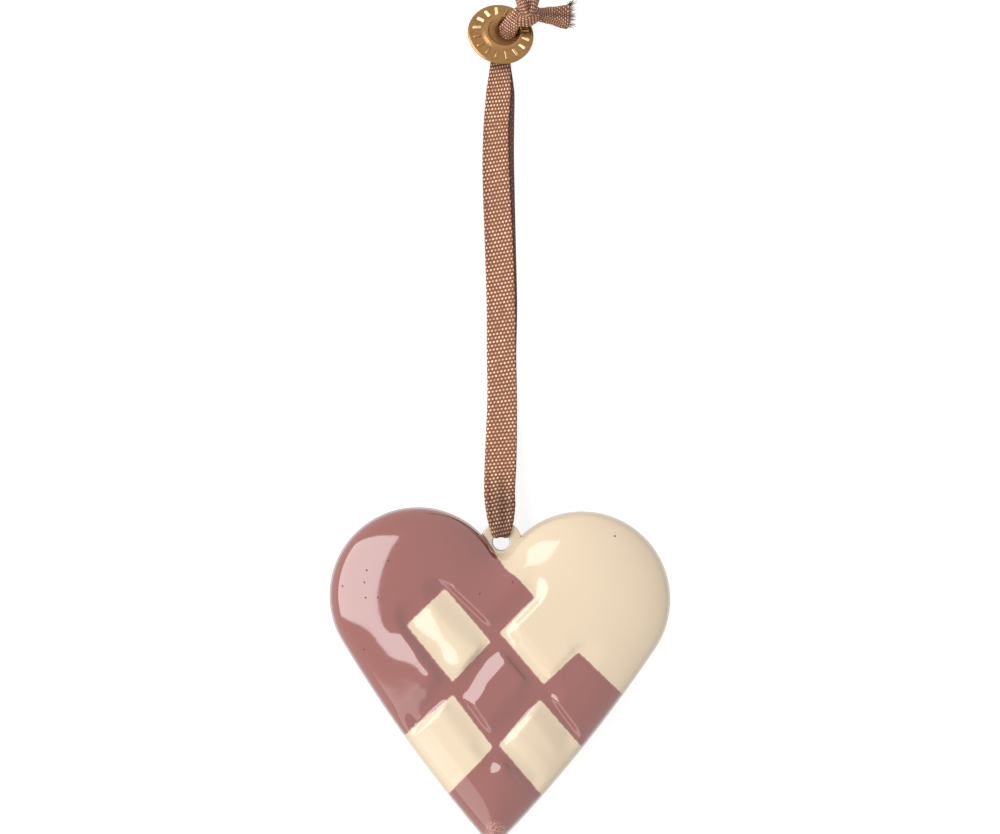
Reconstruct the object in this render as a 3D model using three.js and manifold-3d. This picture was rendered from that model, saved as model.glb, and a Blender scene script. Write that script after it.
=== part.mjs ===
// A woven-look heart ornament: an enamelled heart pressed from sheet metal, a metallic ribbon looped
// through its top tab, and a small dished brass disc threaded on the ribbon under its knot.
// Millimetres. +Z is up from the table, +Y runs from the heart's tip to the ribbon's knot.
// The heart lies on its back with its middle over the origin.
import * as THREE from "three";
import { mergeVertices } from "three/addons/utils/BufferGeometryUtils.js";
import Module from "manifold-3d";

const wasm = await Module();
wasm.setup();

// Heart, seen from the front
const HEART_WIDTH = 70;
const HEART_HEIGHT = 68.5;
const LOBE_RADIUS = 0.2586 * HEART_WIDTH;
const SIDE_RADIUS = 4.2 * HEART_WIDTH;
const TIP_RADIUS = 2.6;
const CLEFT_RADIUS = 2.2;

// Heart, seen from the side: two domes that meet at a seam with a thin lip
const SEAM_HEIGHT = 7;
const SEAM_THICKNESS = 0.8;
const SEAM_LIP = 0.3;
const FRONT_DOME = 6.6;
const DOME_RUN = 13;
const BACK_FLAT_MARGIN = 0.15;

// Relief of the weave
const VALLEY_RUN = 4.5;
const FRONT_VALLEY = 1.3;
const BACK_VALLEY = 0.8;
const RIM_FADE = 4;

// Strip crossings inside the heart, as shares of its half width and half height. CROSSINGS[i][j]
// lies i strips down to the right and j strips down to the left of the cleft. The outer ones are
// moved onto the outline.
const CROSSINGS = [
  [[0, 0.74], [-0.323, 0.519], [-0.541, 0.291], [-0.804, -0.004]],
  [[0.207, 0.479], [-0.016, 0.233], [-0.261, -0.079], [-0.536, -0.369]],
  [[0.467, 0.162], [0.262, -0.084], [0, -0.421], [-0.263, -0.722]],
  [[0.732, -0.083], [0.499, -0.402], [0.272, -0.714], [0, -1]],
];
const STRIPS = 3;

// Mesh rows of a strip and of a lobe, as shares of the way across
const INNER_STEPS = [0, 0.08, 0.2, 0.36, 0.5, 0.64, 0.8, 0.92, 1];
const OUTER_STEPS = [0, 0.1, 0.25, 0.42, 0.58, 0.73, 0.85, 0.94, 1];
const LOBE_STEPS = [0, 0.06, 0.14, 0.25, 0.37, 0.5, 0.62, 0.74, 0.84, 0.91, 0.965, 1];

// Hanging tab in the cleft
const TAB_RADIUS = 4.25;
const TAB_RISE = 2.4;
const TAB_THICKNESS = 1.2;
const TAB_EDGE = 0.3;
const TAB_HOLE_RADIUS = 1.7;
const TAB_SIDES = 40;

// Ribbon
const RIBBON_WIDTH = 6.4;
const RIBBON_THICKNESS = 0.45;
const CLEARANCE = 0.3;
const BIGHT_THICKNESS = 0.7;
const BUNDLE_THICKNESS = 1.6;
const BUNDLE_SLACK = 0.8;
const TABLE_CLEARANCE = 0.1;

// Brass disc
const DISC_RADIUS = 6.85;
const DISC_RIM_THICKNESS = 0.6;
const DISC_HOLE_RADIUS = 2.2;
const DISC_HOLE_OFFSET = 1.45;
const DISC_TILT = THREE.MathUtils.degToRad(27);
const DISC_TILT_TOWARDS = THREE.MathUtils.degToRad(73);
const DISC_CENTRE = [-2.8, 132];
const DISC_TABLE_GAP = 0.05;
const DISC_SIDES = 40;
const RIM_WIDTH = 0.95;
const RING_WIDTH = 1.8;
const RING_RISE = 0.95;
const RING_CROWN = 1.1;
const RING_UNDERSIDE = 0.35;
const DISH_DEPTH = 1.3;
const DISH_WALL = 0.45;
const RIM_EDGE = 0.2;
const STROKE_COUNT = 16;
const STROKE_LENGTH = 1.5;
const STROKE_WIDTH = 0.4;
const STROKE_HEIGHT = 0.16;

// Fineness
const RIM_SAMPLE_COUNT = 450;
const LENGTH_TRIALS = 2000;
const ROWS_PER_POINT = 2;
const TURN_SIDES = 10;
const TURN_STEPS = 20;

const closedSolid = (geometry) => {
  const bare = geometry.index ? geometry.toNonIndexed() : geometry.clone();
  bare.deleteAttribute("normal");
  bare.deleteAttribute("uv");
  const merged = mergeVertices(bare, 1e-4);
  const corners = merged.index.array;
  const kept = [];
  for (let t = 0; t < corners.length; t += 3) {
    const [a, b, c] = [corners[t], corners[t + 1], corners[t + 2]];
    if (a !== b && b !== c && c !== a) kept.push(a, b, c);
  }
  return new wasm.Manifold(new wasm.Mesh({
    numProp: 3,
    vertProperties: new Float32Array(merged.attributes.position.array),
    triVerts: new Uint32Array(kept),
  }));
};

const geometryOf = (solid) => {
  const mesh = solid.getMesh();
  const geometry = new THREE.BufferGeometry();
  geometry.setAttribute("position", new THREE.BufferAttribute(new Float32Array(mesh.vertProperties), 3));
  geometry.setIndex(new THREE.BufferAttribute(new Uint32Array(mesh.triVerts), 1));
  geometry.computeVertexNormals();
  return geometry;
};

const trianglesGeometry = (corners) => {
  const geometry = new THREE.BufferGeometry();
  geometry.setAttribute("position", new THREE.Float32BufferAttribute(corners.flat(), 3));
  return geometry;
};

const addQuad = (corners, a, b, c, d) => corners.push(a, b, c, a, c, d);

// Right half of the heart's outline, from the cleft clockwise to the tip, as arcs that meet smoothly
const outlineArcs = () => {
  const lobe = new THREE.Vector2(HEART_WIDTH / 2 - LOBE_RADIUS, HEART_HEIGHT / 2 - LOBE_RADIUS);
  const tip = new THREE.Vector2(0, TIP_RADIUS - HEART_HEIGHT / 2);
  const toLobe = SIDE_RADIUS - LOBE_RADIUS;
  const toTip = SIDE_RADIUS - TIP_RADIUS;
  const apart = lobe.distanceTo(tip);
  const along = (toLobe ** 2 - toTip ** 2 + apart ** 2) / (2 * apart);
  const across = Math.sqrt(toLobe ** 2 - along ** 2);
  const down = tip.clone().sub(lobe).normalize();
  const side = lobe.clone().addScaledVector(down, along);
  side.addScaledVector(new THREE.Vector2(down.y, -down.x), across);
  const cleftHeight = lobe.y + Math.sqrt((LOBE_RADIUS + CLEFT_RADIUS) ** 2 - lobe.x ** 2);
  const cleft = new THREE.Vector2(0, cleftHeight);
  const heading = (from, to) => Math.atan2(to.y - from.y, to.x - from.x);
  const shoulder = heading(side, lobe);
  const ankle = heading(side, tip);
  return [
    { centre: cleft, radius: CLEFT_RADIUS, from: -Math.PI / 2, to: heading(cleft, lobe), hollow: true },
    { centre: lobe, radius: LOBE_RADIUS, from: heading(lobe, cleft), to: shoulder },
    { centre: side, radius: SIDE_RADIUS, from: shoulder, to: ankle },
    { centre: tip, radius: TIP_RADIUS, from: ankle, to: -Math.PI / 2 },
  ].map((arc) => ({ ...arc, length: arc.radius * Math.abs(arc.to - arc.from) }));
};

const ARCS = outlineArcs();
const HALF_OUTLINE = ARCS.reduce((sum, arc) => sum + arc.length, 0);

// Point of the outline at a length from the cleft, on the right (hand 1) or left (hand -1)
const outlinePoint = (hand, length, inset = 0) => {
  let rest = Math.min(Math.max(length, 0), HALF_OUTLINE);
  let index = 0;
  while (index < ARCS.length - 1 && rest > ARCS[index].length) {
    rest -= ARCS[index].length;
    index += 1;
  }
  const arc = ARCS[index];
  const angle = THREE.MathUtils.lerp(arc.from, arc.to, rest / arc.length);
  const radius = arc.radius + (arc.hollow ? inset : -inset);
  const x = arc.centre.x + radius * Math.cos(angle);
  return [hand * x, arc.centre.y + radius * Math.sin(angle)];
};

const RIM_SPACING = HALF_OUTLINE / RIM_SAMPLE_COUNT;
const RIM_SAMPLES = [-1, 1].flatMap((hand) => Array.from(
  { length: RIM_SAMPLE_COUNT },
  (_, k) => outlinePoint(hand, (k + 0.5) * RIM_SPACING, SEAM_LIP),
));

// Distance to the rim. It is true near the rim, and further in it is a mean of the distances to the
// whole rim that weighs the nearest most, so that the domes have no ridge.
const STRAIGHT_RIM = (3 * Math.PI) / 8;
const rimDistance = (x, y) => {
  let nearest = Infinity;
  let sum = 0;
  for (const [rimX, rimY] of RIM_SAMPLES) {
    const squared = (x - rimX) ** 2 + (y - rimY) ** 2;
    nearest = Math.min(nearest, squared);
    sum += RIM_SPACING / Math.max(squared, Number.EPSILON) ** 3;
  }
  const plain = Math.sqrt(nearest);
  return plain < 2 * RIM_SPACING ? plain : (STRAIGHT_RIM / sum) ** (1 / 5);
};

const lengthNearest = (hand, [x, y]) => {
  let best = 0;
  let closest = Infinity;
  for (let k = 0; k <= LENGTH_TRIALS; k += 1) {
    const length = (k / LENGTH_TRIALS) * HALF_OUTLINE;
    const [px, py] = outlinePoint(hand, length, SEAM_LIP);
    const gap = Math.hypot(px - x, py - y);
    if (gap < closest) [best, closest] = [length, gap];
  }
  return best;
};

const share = ([across, up]) => [(across * HEART_WIDTH) / 2, (up * HEART_HEIGHT) / 2];
const rimCrossings = (hand, shares) => {
  const inner = shares.slice(0, STRIPS).map((place) => lengthNearest(hand, share(place)));
  return [...inner, HALF_OUTLINE];
};
const RIGHT_LENGTHS = rimCrossings(1, CROSSINGS[STRIPS]);
const LEFT_LENGTHS = rimCrossings(-1, CROSSINGS.map((column) => column[STRIPS]));

const crossing = (i, j) => {
  if (i === 0 && j === 0) return outlinePoint(1, 0, SEAM_LIP);
  if (i === STRIPS) return outlinePoint(1, RIGHT_LENGTHS[j], SEAM_LIP);
  if (j === STRIPS) return outlinePoint(-1, LEFT_LENGTHS[i], SEAM_LIP);
  return share(CROSSINGS[i][j]);
};

const mix = (a, b, t) => a.map((value, axis) => value + (b[axis] - value) * t);

// Lines between two crossings: straight inside the heart, along the outline on its two lower sides
const edgeDownRight = (i, j, t) => (j === STRIPS
  ? outlinePoint(-1, THREE.MathUtils.lerp(LEFT_LENGTHS[i], LEFT_LENGTHS[i + 1], t), SEAM_LIP)
  : mix(crossing(i, j), crossing(i + 1, j), t));
const edgeDownLeft = (i, j, t) => (i === STRIPS
  ? outlinePoint(1, THREE.MathUtils.lerp(RIGHT_LENGTHS[j], RIGHT_LENGTHS[j + 1], t), SEAM_LIP)
  : mix(crossing(i, j), crossing(i, j + 1), t));

const cellPoint = (i, j, a, b) => {
  const corners = mix(
    mix(crossing(i, j), crossing(i + 1, j), a),
    mix(crossing(i, j + 1), crossing(i + 1, j + 1), a),
    b,
  );
  const along = mix(edgeDownRight(i, j, a), edgeDownRight(i, j + 1, a), b);
  const across = mix(edgeDownLeft(i, j, b), edgeDownLeft(i + 1, j, b), a);
  return corners.map((value, axis) => along[axis] + across[axis] - value);
};

// Every stretch where one strip dips under another: all inner edges of the weave, and the three
// where a strip leaves its lobe underneath
const valleys = () => {
  const found = [];
  for (let line = 1; line < STRIPS; line += 1) {
    for (let k = 0; k < STRIPS; k += 1) {
      found.push([crossing(line, k), crossing(line, k + 1)]);
      found.push([crossing(k, line), crossing(k + 1, line)]);
    }
  }
  found.push([crossing(0, 1), crossing(0, 2)]);
  found.push([crossing(0, 0), crossing(1, 0)]);
  found.push([crossing(2, 0), crossing(3, 0)]);
  return found;
};

const VALLEYS = valleys();

const distanceToStretch = (x, y, [from, to]) => {
  const run = [to[0] - from[0], to[1] - from[1]];
  const along = ((x - from[0]) * run[0] + (y - from[1]) * run[1]) / (run[0] ** 2 + run[1] ** 2);
  const t = THREE.MathUtils.clamp(along, 0, 1);
  return Math.hypot(x - from[0] - t * run[0], y - from[1] - t * run[1]);
};

// 1 at the bottom of a valley, 0 on a strip's back
const valleyDepth = (x, y) => {
  let level = 1;
  for (const stretch of VALLEYS) {
    const near = 1 - Math.min(distanceToStretch(x, y, stretch) / VALLEY_RUN, 1);
    level *= 1 - near ** 2;
  }
  return 1 - level;
};

const domeRise = (x, y, height, valley) => {
  const rim = rimDistance(x, y);
  const t = Math.min(rim / DOME_RUN, 1);
  const fade = THREE.MathUtils.smoothstep(rim, 0, RIM_FADE);
  return height * Math.sqrt(1 - (1 - t) ** 2) - valley * fade * valleyDepth(x, y);
};

const BACK_DOME = SEAM_HEIGHT - SEAM_THICKNESS / 2;
const frontHeight = (x, y) => SEAM_HEIGHT + SEAM_THICKNESS / 2 + domeRise(x, y, FRONT_DOME, FRONT_VALLEY);
const backHeight = (x, y) => {
  const rise = domeRise(x, y, BACK_DOME + BACK_FLAT_MARGIN, BACK_VALLEY);
  return BACK_DOME - Math.min(rise, BACK_DOME);
};

const steps = (strip) => (strip === STRIPS - 1 ? OUTER_STEPS : INNER_STEPS);

// Lengths along half of the outline, from the cleft to the tip, at which the mesh has a rim point
const rimLengths = (lengths) => {
  const found = [0];
  for (let strip = 0; strip < STRIPS; strip += 1) {
    for (const t of steps(strip).slice(1)) found.push((lengths[0] * (strip + t)) / STRIPS);
  }
  for (let strip = 0; strip < STRIPS; strip += 1) {
    const [from, to] = [lengths[strip], lengths[strip + 1]];
    for (const t of steps(strip).slice(1)) found.push(THREE.MathUtils.lerp(from, to, t));
  }
  return found;
};

const pointKey = (x, y) => `${x.toFixed(4)} ${y.toFixed(4)}`;
const RIM_POINTS = new Set();
for (const [hand, lengths] of [[1, RIGHT_LENGTHS], [-1, LEFT_LENGTHS]]) {
  for (const length of rimLengths(lengths)) RIM_POINTS.add(pointKey(...outlinePoint(hand, length, SEAM_LIP)));
}

// Rows and columns of points that cover one face of the heart: nine cells of the weave and two lobes
const faceGrids = () => {
  const grids = [];
  for (let i = 0; i < STRIPS; i += 1) {
    for (let j = 0; j < STRIPS; j += 1) {
      grids.push(steps(i).map((a) => steps(j).map((b) => cellPoint(i, j, a, b))));
    }
  }
  for (const hand of [-1, 1]) {
    const lobeLength = hand > 0 ? RIGHT_LENGTHS[0] : LEFT_LENGTHS[0];
    const across = hand > 0 ? [...LOBE_STEPS].reverse() : LOBE_STEPS;
    for (let strip = 0; strip < STRIPS; strip += 1) {
      grids.push(steps(strip).map((t) => {
        const inner = hand > 0 ? edgeDownRight(strip, 0, t) : edgeDownLeft(0, strip, t);
        const outer = outlinePoint(hand, (lobeLength * (strip + t)) / STRIPS, SEAM_LIP);
        return across.map((s) => mix(inner, outer, s));
      }));
    }
  }
  return grids;
};

const addFace = (corners, heightAt, rimHeight, facesUp) => {
  for (const grid of faceGrids()) {
    const placed = grid.map((row) => row.map(([x, y]) => {
      const height = RIM_POINTS.has(pointKey(x, y)) ? rimHeight : heightAt(x, y);
      return [x, y, height];
    }));
    for (let r = 0; r + 1 < placed.length; r += 1) {
      for (let c = 0; c + 1 < placed[r].length; c += 1) {
        const [p, q] = [placed[r][c], placed[r + 1][c]];
        const [s, t] = [placed[r + 1][c + 1], placed[r][c + 1]];
        if (facesUp) addQuad(corners, p, t, s, q);
        else addQuad(corners, p, q, s, t);
      }
    }
  }
};

const addSeamLip = (corners, hand, lengths) => {
  const top = SEAM_HEIGHT + SEAM_THICKNESS / 2;
  const bottom = SEAM_HEIGHT - SEAM_THICKNESS / 2;
  const rings = rimLengths(lengths).map((length) => {
    const inner = outlinePoint(hand, length, SEAM_LIP);
    const outer = outlinePoint(hand, length);
    return [[...inner, top], [...outer, top], [...outer, bottom], [...inner, bottom]];
  });
  for (let k = 0; k + 1 < rings.length; k += 1) {
    const [a, b] = hand > 0 ? [rings[k], rings[k + 1]] : [rings[k + 1], rings[k]];
    for (let level = 0; level < 3; level += 1) {
      addQuad(corners, a[level], b[level], b[level + 1], a[level + 1]);
    }
  }
};

const TAB_CENTRE = [0, outlinePoint(1, 0)[1] + TAB_RISE];

const upright = (geometry, [x, y], z) => geometry.rotateX(Math.PI / 2).translate(x, y, z);

const tabPlate = () => {
  const half = TAB_THICKNESS / 2;
  const profile = [
    [0, -half],
    [TAB_RADIUS - TAB_EDGE, -half],
    [TAB_RADIUS, TAB_EDGE - half],
    [TAB_RADIUS, half - TAB_EDGE],
    [TAB_RADIUS - TAB_EDGE, half],
    [0, half],
  ].map(([r, h]) => new THREE.Vector2(r, h));
  return upright(new THREE.LatheGeometry(profile, TAB_SIDES), TAB_CENTRE, SEAM_HEIGHT);
};

const tabHole = () => upright(
  new THREE.CylinderGeometry(TAB_HOLE_RADIUS, TAB_HOLE_RADIUS, 4 * TAB_THICKNESS, TAB_SIDES),
  TAB_CENTRE,
  SEAM_HEIGHT,
);

const heartSolid = () => {
  const corners = [];
  addFace(corners, frontHeight, SEAM_HEIGHT + SEAM_THICKNESS / 2, true);
  addFace(corners, backHeight, SEAM_HEIGHT - SEAM_THICKNESS / 2, false);
  addSeamLip(corners, 1, RIGHT_LENGTHS);
  addSeamLip(corners, -1, LEFT_LENGTHS);
  const body = closedSolid(trianglesGeometry(corners));
  return body.add(closedSolid(tabPlate())).subtract(closedSolid(tabHole()));
};

// Brass disc: rim, raised ring and the dish around its hole, as radius and height above the rim's middle
const RING_OUTER = DISC_RADIUS - RIM_WIDTH;
const RING_INNER = RING_OUTER - RING_WIDTH;

const discProfile = () => {
  const half = DISC_RIM_THICKNESS / 2;
  const hole = DISC_HOLE_RADIUS;
  return [
    [DISC_RADIUS - RIM_EDGE, -half],
    [DISC_RADIUS, RIM_EDGE - half],
    [DISC_RADIUS, half - RIM_EDGE],
    [DISC_RADIUS - RIM_EDGE, half],
    [RING_OUTER + RIM_EDGE, half],
    [RING_OUTER - RIM_EDGE, RING_RISE],
    [(RING_OUTER + RING_INNER) / 2, RING_CROWN],
    [RING_INNER, RING_RISE],
    [hole + RIM_EDGE, -DISH_DEPTH + RIM_EDGE],
    [hole, -DISH_DEPTH],
    [hole, -DISH_DEPTH - DISH_WALL],
    [hole + DISH_WALL, -DISH_DEPTH - DISH_WALL],
    [RING_INNER + RIM_EDGE, RING_UNDERSIDE],
    [RING_OUTER - DISH_WALL, RING_UNDERSIDE],
    [RING_OUTER + RIM_EDGE, -half],
    [DISC_RADIUS - RIM_EDGE, -half],
  ].map(([r, h]) => new THREE.Vector2(r, h));
};

const DISC_HEIGHT = DISC_RADIUS * Math.sin(DISC_TILT)
  + (DISC_RIM_THICKNESS / 2) * Math.cos(DISC_TILT) + DISC_TABLE_GAP;

const discPlacement = () => {
  const axis = new THREE.Vector3(-Math.sin(DISC_TILT_TOWARDS), Math.cos(DISC_TILT_TOWARDS), 0);
  const tilt = new THREE.Matrix4().makeRotationAxis(axis, DISC_TILT);
  return tilt.setPosition(DISC_CENTRE[0], DISC_CENTRE[1], DISC_HEIGHT);
};

// The hole sits off the middle, and the ring around it half as far
const offCentre = (radius) => {
  const span = DISC_RADIUS - DISC_HOLE_RADIUS;
  return DISC_HOLE_OFFSET * THREE.MathUtils.clamp((DISC_RADIUS - radius) / span, 0, 1);
};

const discSolid = () => {
  const plate = new THREE.LatheGeometry(discProfile(), DISC_SIDES).rotateX(Math.PI / 2);
  const position = plate.attributes.position;
  for (let k = 0; k < position.count; k += 1) {
    const x = position.getX(k);
    position.setX(k, x + offCentre(Math.hypot(x, position.getY(k))));
  }
  let solid = closedSolid(plate);
  const ring = (RING_OUTER + RING_INNER) / 2;
  for (let k = 0; k < STROKE_COUNT; k += 1) {
    const stroke = new THREE.BoxGeometry(STROKE_LENGTH, STROKE_WIDTH, 4 * STROKE_HEIGHT);
    stroke.translate(ring, 0, RING_CROWN - STROKE_HEIGHT);
    stroke.rotateZ(((k + 0.5) / STROKE_COUNT) * 2 * Math.PI);
    stroke.translate(offCentre(ring), 0, 0);
    solid = solid.add(closedSolid(stroke));
  }
  const placed = geometryOf(solid).applyMatrix4(discPlacement());
  return closedSolid(placed);
};

// Routes of the ribbon: x, y, z of its middle, then its width as a share of its flat width.
// Each leg starts in the tab's hole and ends under the disc.
const FRONT_LEG = [
  [0.05, 35.5, 7.85, 0.95],
  [-0.77, 37.5, 7.3, 1],
  [-0.65, 42, 5.6, 1],
  [-0.57, 48.5, 3.2, 1],
  [-0.6, 57.5, 1.25, 0.95],
  [-1, 66, 0.74, 0.93],
  [-1.32, 76, 0.7, 0.92],
  [-2.12, 89.6, 0.7, 0.91],
  [-2.9, 101, 0.7, 0.88],
  [-3.2, 107, 0.7, 0.85],
  [-3.27, 113, 0.7, 0.81],
  [-2.94, 120, 0.72, 0.8],
  [-2.67, 125.5, 0.92, 0.61],
];
const BACK_LEG = [
  [-0.3, 35, 4.9, 0.95],
  [-0.6, 38, 3.9, 1],
  [-0.5, 43, 2.2, 1],
  [-0.5, 49, 0.95, 1],
  [-0.55, 57.5, 0.34, 0.95],
  [-0.85, 66, 0.27, 0.93],
  [-0.9, 76, 0.27, 0.92],
  [-1.5, 89.6, 0.27, 0.91],
  [-1.95, 101, 0.27, 0.88],
  [-2.15, 107, 0.27, 0.86],
  [-2.2, 113, 0.27, 0.84],
  [-2.2, 120, 0.3, 0.8],
  [-2.5, 125.5, 0.5, 0.61],
];

// Both layers together, from under the disc through its hole and over its rim to the knot
const BUNDLE = [
  [-2.6, 124.6, 0.74, 0.8],
  [-2.45, 127, 0.95, 1],
  [-2.1, 129.2, 1.25, 1],
  [-1.75, 130.8, 1.8, 1],
  [-1.35, 132.2, 2.85, 1],
  [-0.75, 133.5, 3.9, 1],
  [0.1, 134.9, 4.55, 1],
  [1.3, 136.4, 4.8, 1],
  [2.6, 137.2, 4.6, 1],
  [4, 136.7, 4.1, 0.95],
  [5.4, 136.2, 3.5, 0.8],
];
const TAILS = [
  [4.6, 136.45, 3.9, 0.8],
  [5.6, 136.2, 3.4, 0.85],
  [7.5, 136.15, 2.6, 1.2],
  [9.5, 136.05, 1.6, 1.5],
  [11.5, 136, 1.05, 1.7],
];
const KNOT_TURNS = [
  { centre: [1.8, 137.9, 4.55], reach: 2.3, lift: 0.72, lean: 0.35, strand: 1.15 },
  { centre: [3.45, 137.4, 4.3], reach: 2, lift: 0.75, lean: -0.3, strand: 1.1 },
];

const sectionPoints = (width, thickness) => {
  const [w, t] = [width / 2, thickness / 2];
  return [[w, -t / 2], [w, t / 2], [w - t, t], [t - w, t], [-w, t / 2], [-w, -t / 2], [t - w, -t], [w - t, -t]];
};

// Closed strip along a route of [x, y, z, width, thickness], with its width level
const strip = (route) => {
  const centres = route.map(([x, y, z]) => new THREE.Vector3(x, y, z));
  const curve = new THREE.CatmullRomCurve3(centres, false, "centripetal");
  const last = (route.length - 1) * ROWS_PER_POINT;
  const rings = [];
  for (let k = 0; k <= last; k += 1) {
    const u = k / last;
    const centre = curve.getPoint(u);
    const tangent = curve.getTangent(u);
    const side = new THREE.Vector3(tangent.y, -tangent.x, 0).normalize();
    const normal = tangent.clone().cross(side);
    const place = Math.min(Math.floor(k / ROWS_PER_POINT), route.length - 2);
    const [, , , width, thickness] = mix(route[place], route[place + 1], k / ROWS_PER_POINT - place);
    rings.push(sectionPoints(width, thickness).map(([a, b]) => centre.clone()
      .addScaledVector(side, a).addScaledVector(normal, b).toArray()));
  }
  const corners = [];
  const around = rings[0].length;
  for (let k = 0; k < last; k += 1) {
    for (let m = 0; m < around; m += 1) {
      const n = (m + 1) % around;
      addQuad(corners, rings[k][m], rings[k][n], rings[k + 1][n], rings[k + 1][m]);
    }
  }
  for (let m = 1; m + 1 < around; m += 1) {
    corners.push(rings[0][0], rings[0][m + 1], rings[0][m]);
    corners.push(rings[last][0], rings[last][m], rings[last][m + 1]);
  }
  return closedSolid(trianglesGeometry(corners));
};

// The bight through the tab, from the hole out over the tab's edge: shares of the tab's radius, of
// the ribbon's lift off the seam and of the way from its bunched width to its flat one
const BIGHT = [[0.07, -0.1, 0], [0.12, 0.85, 0], [0.26, 1.1, 0.2], [0.52, 1.1, 0.5], [1, 1.05, 0.7]];
const BIGHT_LIFT = TAB_THICKNESS / 2 + CLEARANCE + BIGHT_THICKNESS / 2;
const BIGHT_WIDTH = 2 * Math.sqrt((TAB_HOLE_RADIUS - CLEARANCE) ** 2 - BIGHT_THICKNESS ** 2);

// One layer of the ribbon: hand 1 passes over the tab and hand -1 under it
const leg = (hand, route) => {
  const [x, y] = TAB_CENTRE;
  const bight = BIGHT.map(([outward, lift, spread]) => [
    x,
    y + outward * TAB_RADIUS,
    SEAM_HEIGHT + hand * lift * BIGHT_LIFT,
    THREE.MathUtils.lerp(BIGHT_WIDTH, RIBBON_WIDTH, spread),
    BIGHT_THICKNESS,
  ]);
  const flat = route.map(([px, py, pz, width]) => [px, py, pz, width * RIBBON_WIDTH, RIBBON_THICKNESS]);
  return strip([...bight, ...flat]);
};

const BUNDLE_WIDTH = 2 * (DISC_HOLE_RADIUS - BUNDLE_SLACK);
const bundled = (route) => strip(route.map(([x, y, z, width]) => {
  const thickness = Math.min(BUNDLE_THICKNESS, 2 * (z - TABLE_CLEARANCE));
  return [x, y, z, width * BUNDLE_WIDTH, thickness];
}));

const knotTurn = ({ centre, reach, lift, lean, strand }) => {
  const turn = new THREE.TorusGeometry(reach, strand, TURN_SIDES, TURN_STEPS);
  turn.scale(1, lift, 1).rotateX(Math.PI / 2).rotateZ(Math.PI / 2 + lean).translate(...centre);
  return closedSolid(turn);
};

const ribbonSolid = () => {
  let solid = leg(1, FRONT_LEG).add(leg(-1, BACK_LEG)).add(bundled(BUNDLE)).add(bundled(TAILS));
  for (const turn of KNOT_TURNS) solid = solid.add(knotTurn(turn));
  return solid;
};

const part = new THREE.Group();
const addPiece = (name, solid, colour, roughness, metalness) => {
  const finish = new THREE.MeshStandardMaterial({ color: colour, roughness, metalness });
  const piece = new THREE.Mesh(geometryOf(solid), finish);
  piece.name = name;
  part.add(piece);
};

addPiece("heart", heartSolid(), 0xaa736c, 0.25, 0.1);
addPiece("ribbon", ribbonSolid(), 0x97604f, 0.55, 0.5);
addPiece("brass_disc", discSolid(), 0xa57d4b, 0.35, 1);

export default part;
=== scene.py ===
"""Looks of a woven-look heart ornament: its ribbon and knot, brass disc, enamelled heart and studio."""

from __future__ import annotations

import logging
import math
from collections.abc import Callable, Sequence
from dataclasses import dataclass, field
from enum import Enum
from typing import Any

import bpy
import numpy as np
from mathutils import Matrix, Vector

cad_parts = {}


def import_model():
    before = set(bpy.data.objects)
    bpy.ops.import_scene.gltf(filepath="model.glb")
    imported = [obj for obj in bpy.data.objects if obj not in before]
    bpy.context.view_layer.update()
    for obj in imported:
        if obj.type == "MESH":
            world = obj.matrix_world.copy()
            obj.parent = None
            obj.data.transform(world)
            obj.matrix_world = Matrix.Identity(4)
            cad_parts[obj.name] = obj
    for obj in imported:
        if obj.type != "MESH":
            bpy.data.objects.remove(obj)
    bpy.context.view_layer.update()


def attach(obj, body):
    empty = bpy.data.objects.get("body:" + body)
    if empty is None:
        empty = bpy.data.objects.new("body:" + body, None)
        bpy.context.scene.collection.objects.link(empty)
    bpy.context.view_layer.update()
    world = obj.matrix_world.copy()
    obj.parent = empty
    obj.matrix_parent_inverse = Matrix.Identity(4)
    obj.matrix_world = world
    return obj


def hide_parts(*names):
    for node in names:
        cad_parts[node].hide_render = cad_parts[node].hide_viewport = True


LOG = logging.getLogger("ornament")
MM = 0.001
ROUTE_PARTS = 60

Colour = tuple[float, float, float]


def linear(red: float, green: float, blue: float) -> Colour:
    """Linear colour of an sRGB one given in parts of 255."""
    parts = [value / 255 for value in (red, green, blue)]
    return tuple(p / 12.92 if p <= 0.04045 else ((p + 0.055) / 1.055) ** 2.4 for p in parts)


# Shader tools


class Sock:
    """One output socket of a node tree, with the operators that add Math nodes."""

    def __init__(self, tree: bpy.types.NodeTree, socket: bpy.types.NodeSocket) -> None:
        """Keeps the tree and the socket."""
        self.tree = tree
        self.socket = socket

    def math(self, operation: str, *others: Any, first: Any = None) -> Sock:
        """Adds a Math node.

        Args:
            operation: The node's operation.
            others: Values or sockets of its further inputs.
            first: Value for the first input, where this socket is the second one.

        Returns:
            The node's value.
        """
        node = self.tree.nodes.new("ShaderNodeMath")
        node.operation = operation
        operands = [first, self] if first is not None else [self, *others]
        for place, operand in zip(node.inputs, operands):
            if isinstance(operand, Sock):
                self.tree.links.new(operand.socket, place)
            else:
                place.default_value = operand
        return Sock(self.tree, node.outputs[0])

    def __add__(self, other: Any) -> Sock:
        """Sum."""
        return self.math("ADD", other)

    __radd__ = __add__

    def __sub__(self, other: Any) -> Sock:
        """Difference."""
        return self.math("SUBTRACT", other)

    def __rsub__(self, other: Any) -> Sock:
        """Difference from a number."""
        return self.math("SUBTRACT", first=other)

    def __mul__(self, other: Any) -> Sock:
        """Product."""
        return self.math("MULTIPLY", other)

    def __abs__(self) -> Sock:
        """Absolute value."""
        return self.math("ABSOLUTE")

    def cos(self) -> Sock:
        """Cosine."""
        return self.math("COSINE")

    def floor(self) -> Sock:
        """Whole part."""
        return self.math("FLOOR")

    def at_least(self, other: Any) -> Sock:
        """The greater of the two."""
        return self.math("MAXIMUM", other)

    def at_most(self, other: Any) -> Sock:
        """The smaller of the two."""
        return self.math("MINIMUM", other)


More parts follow.
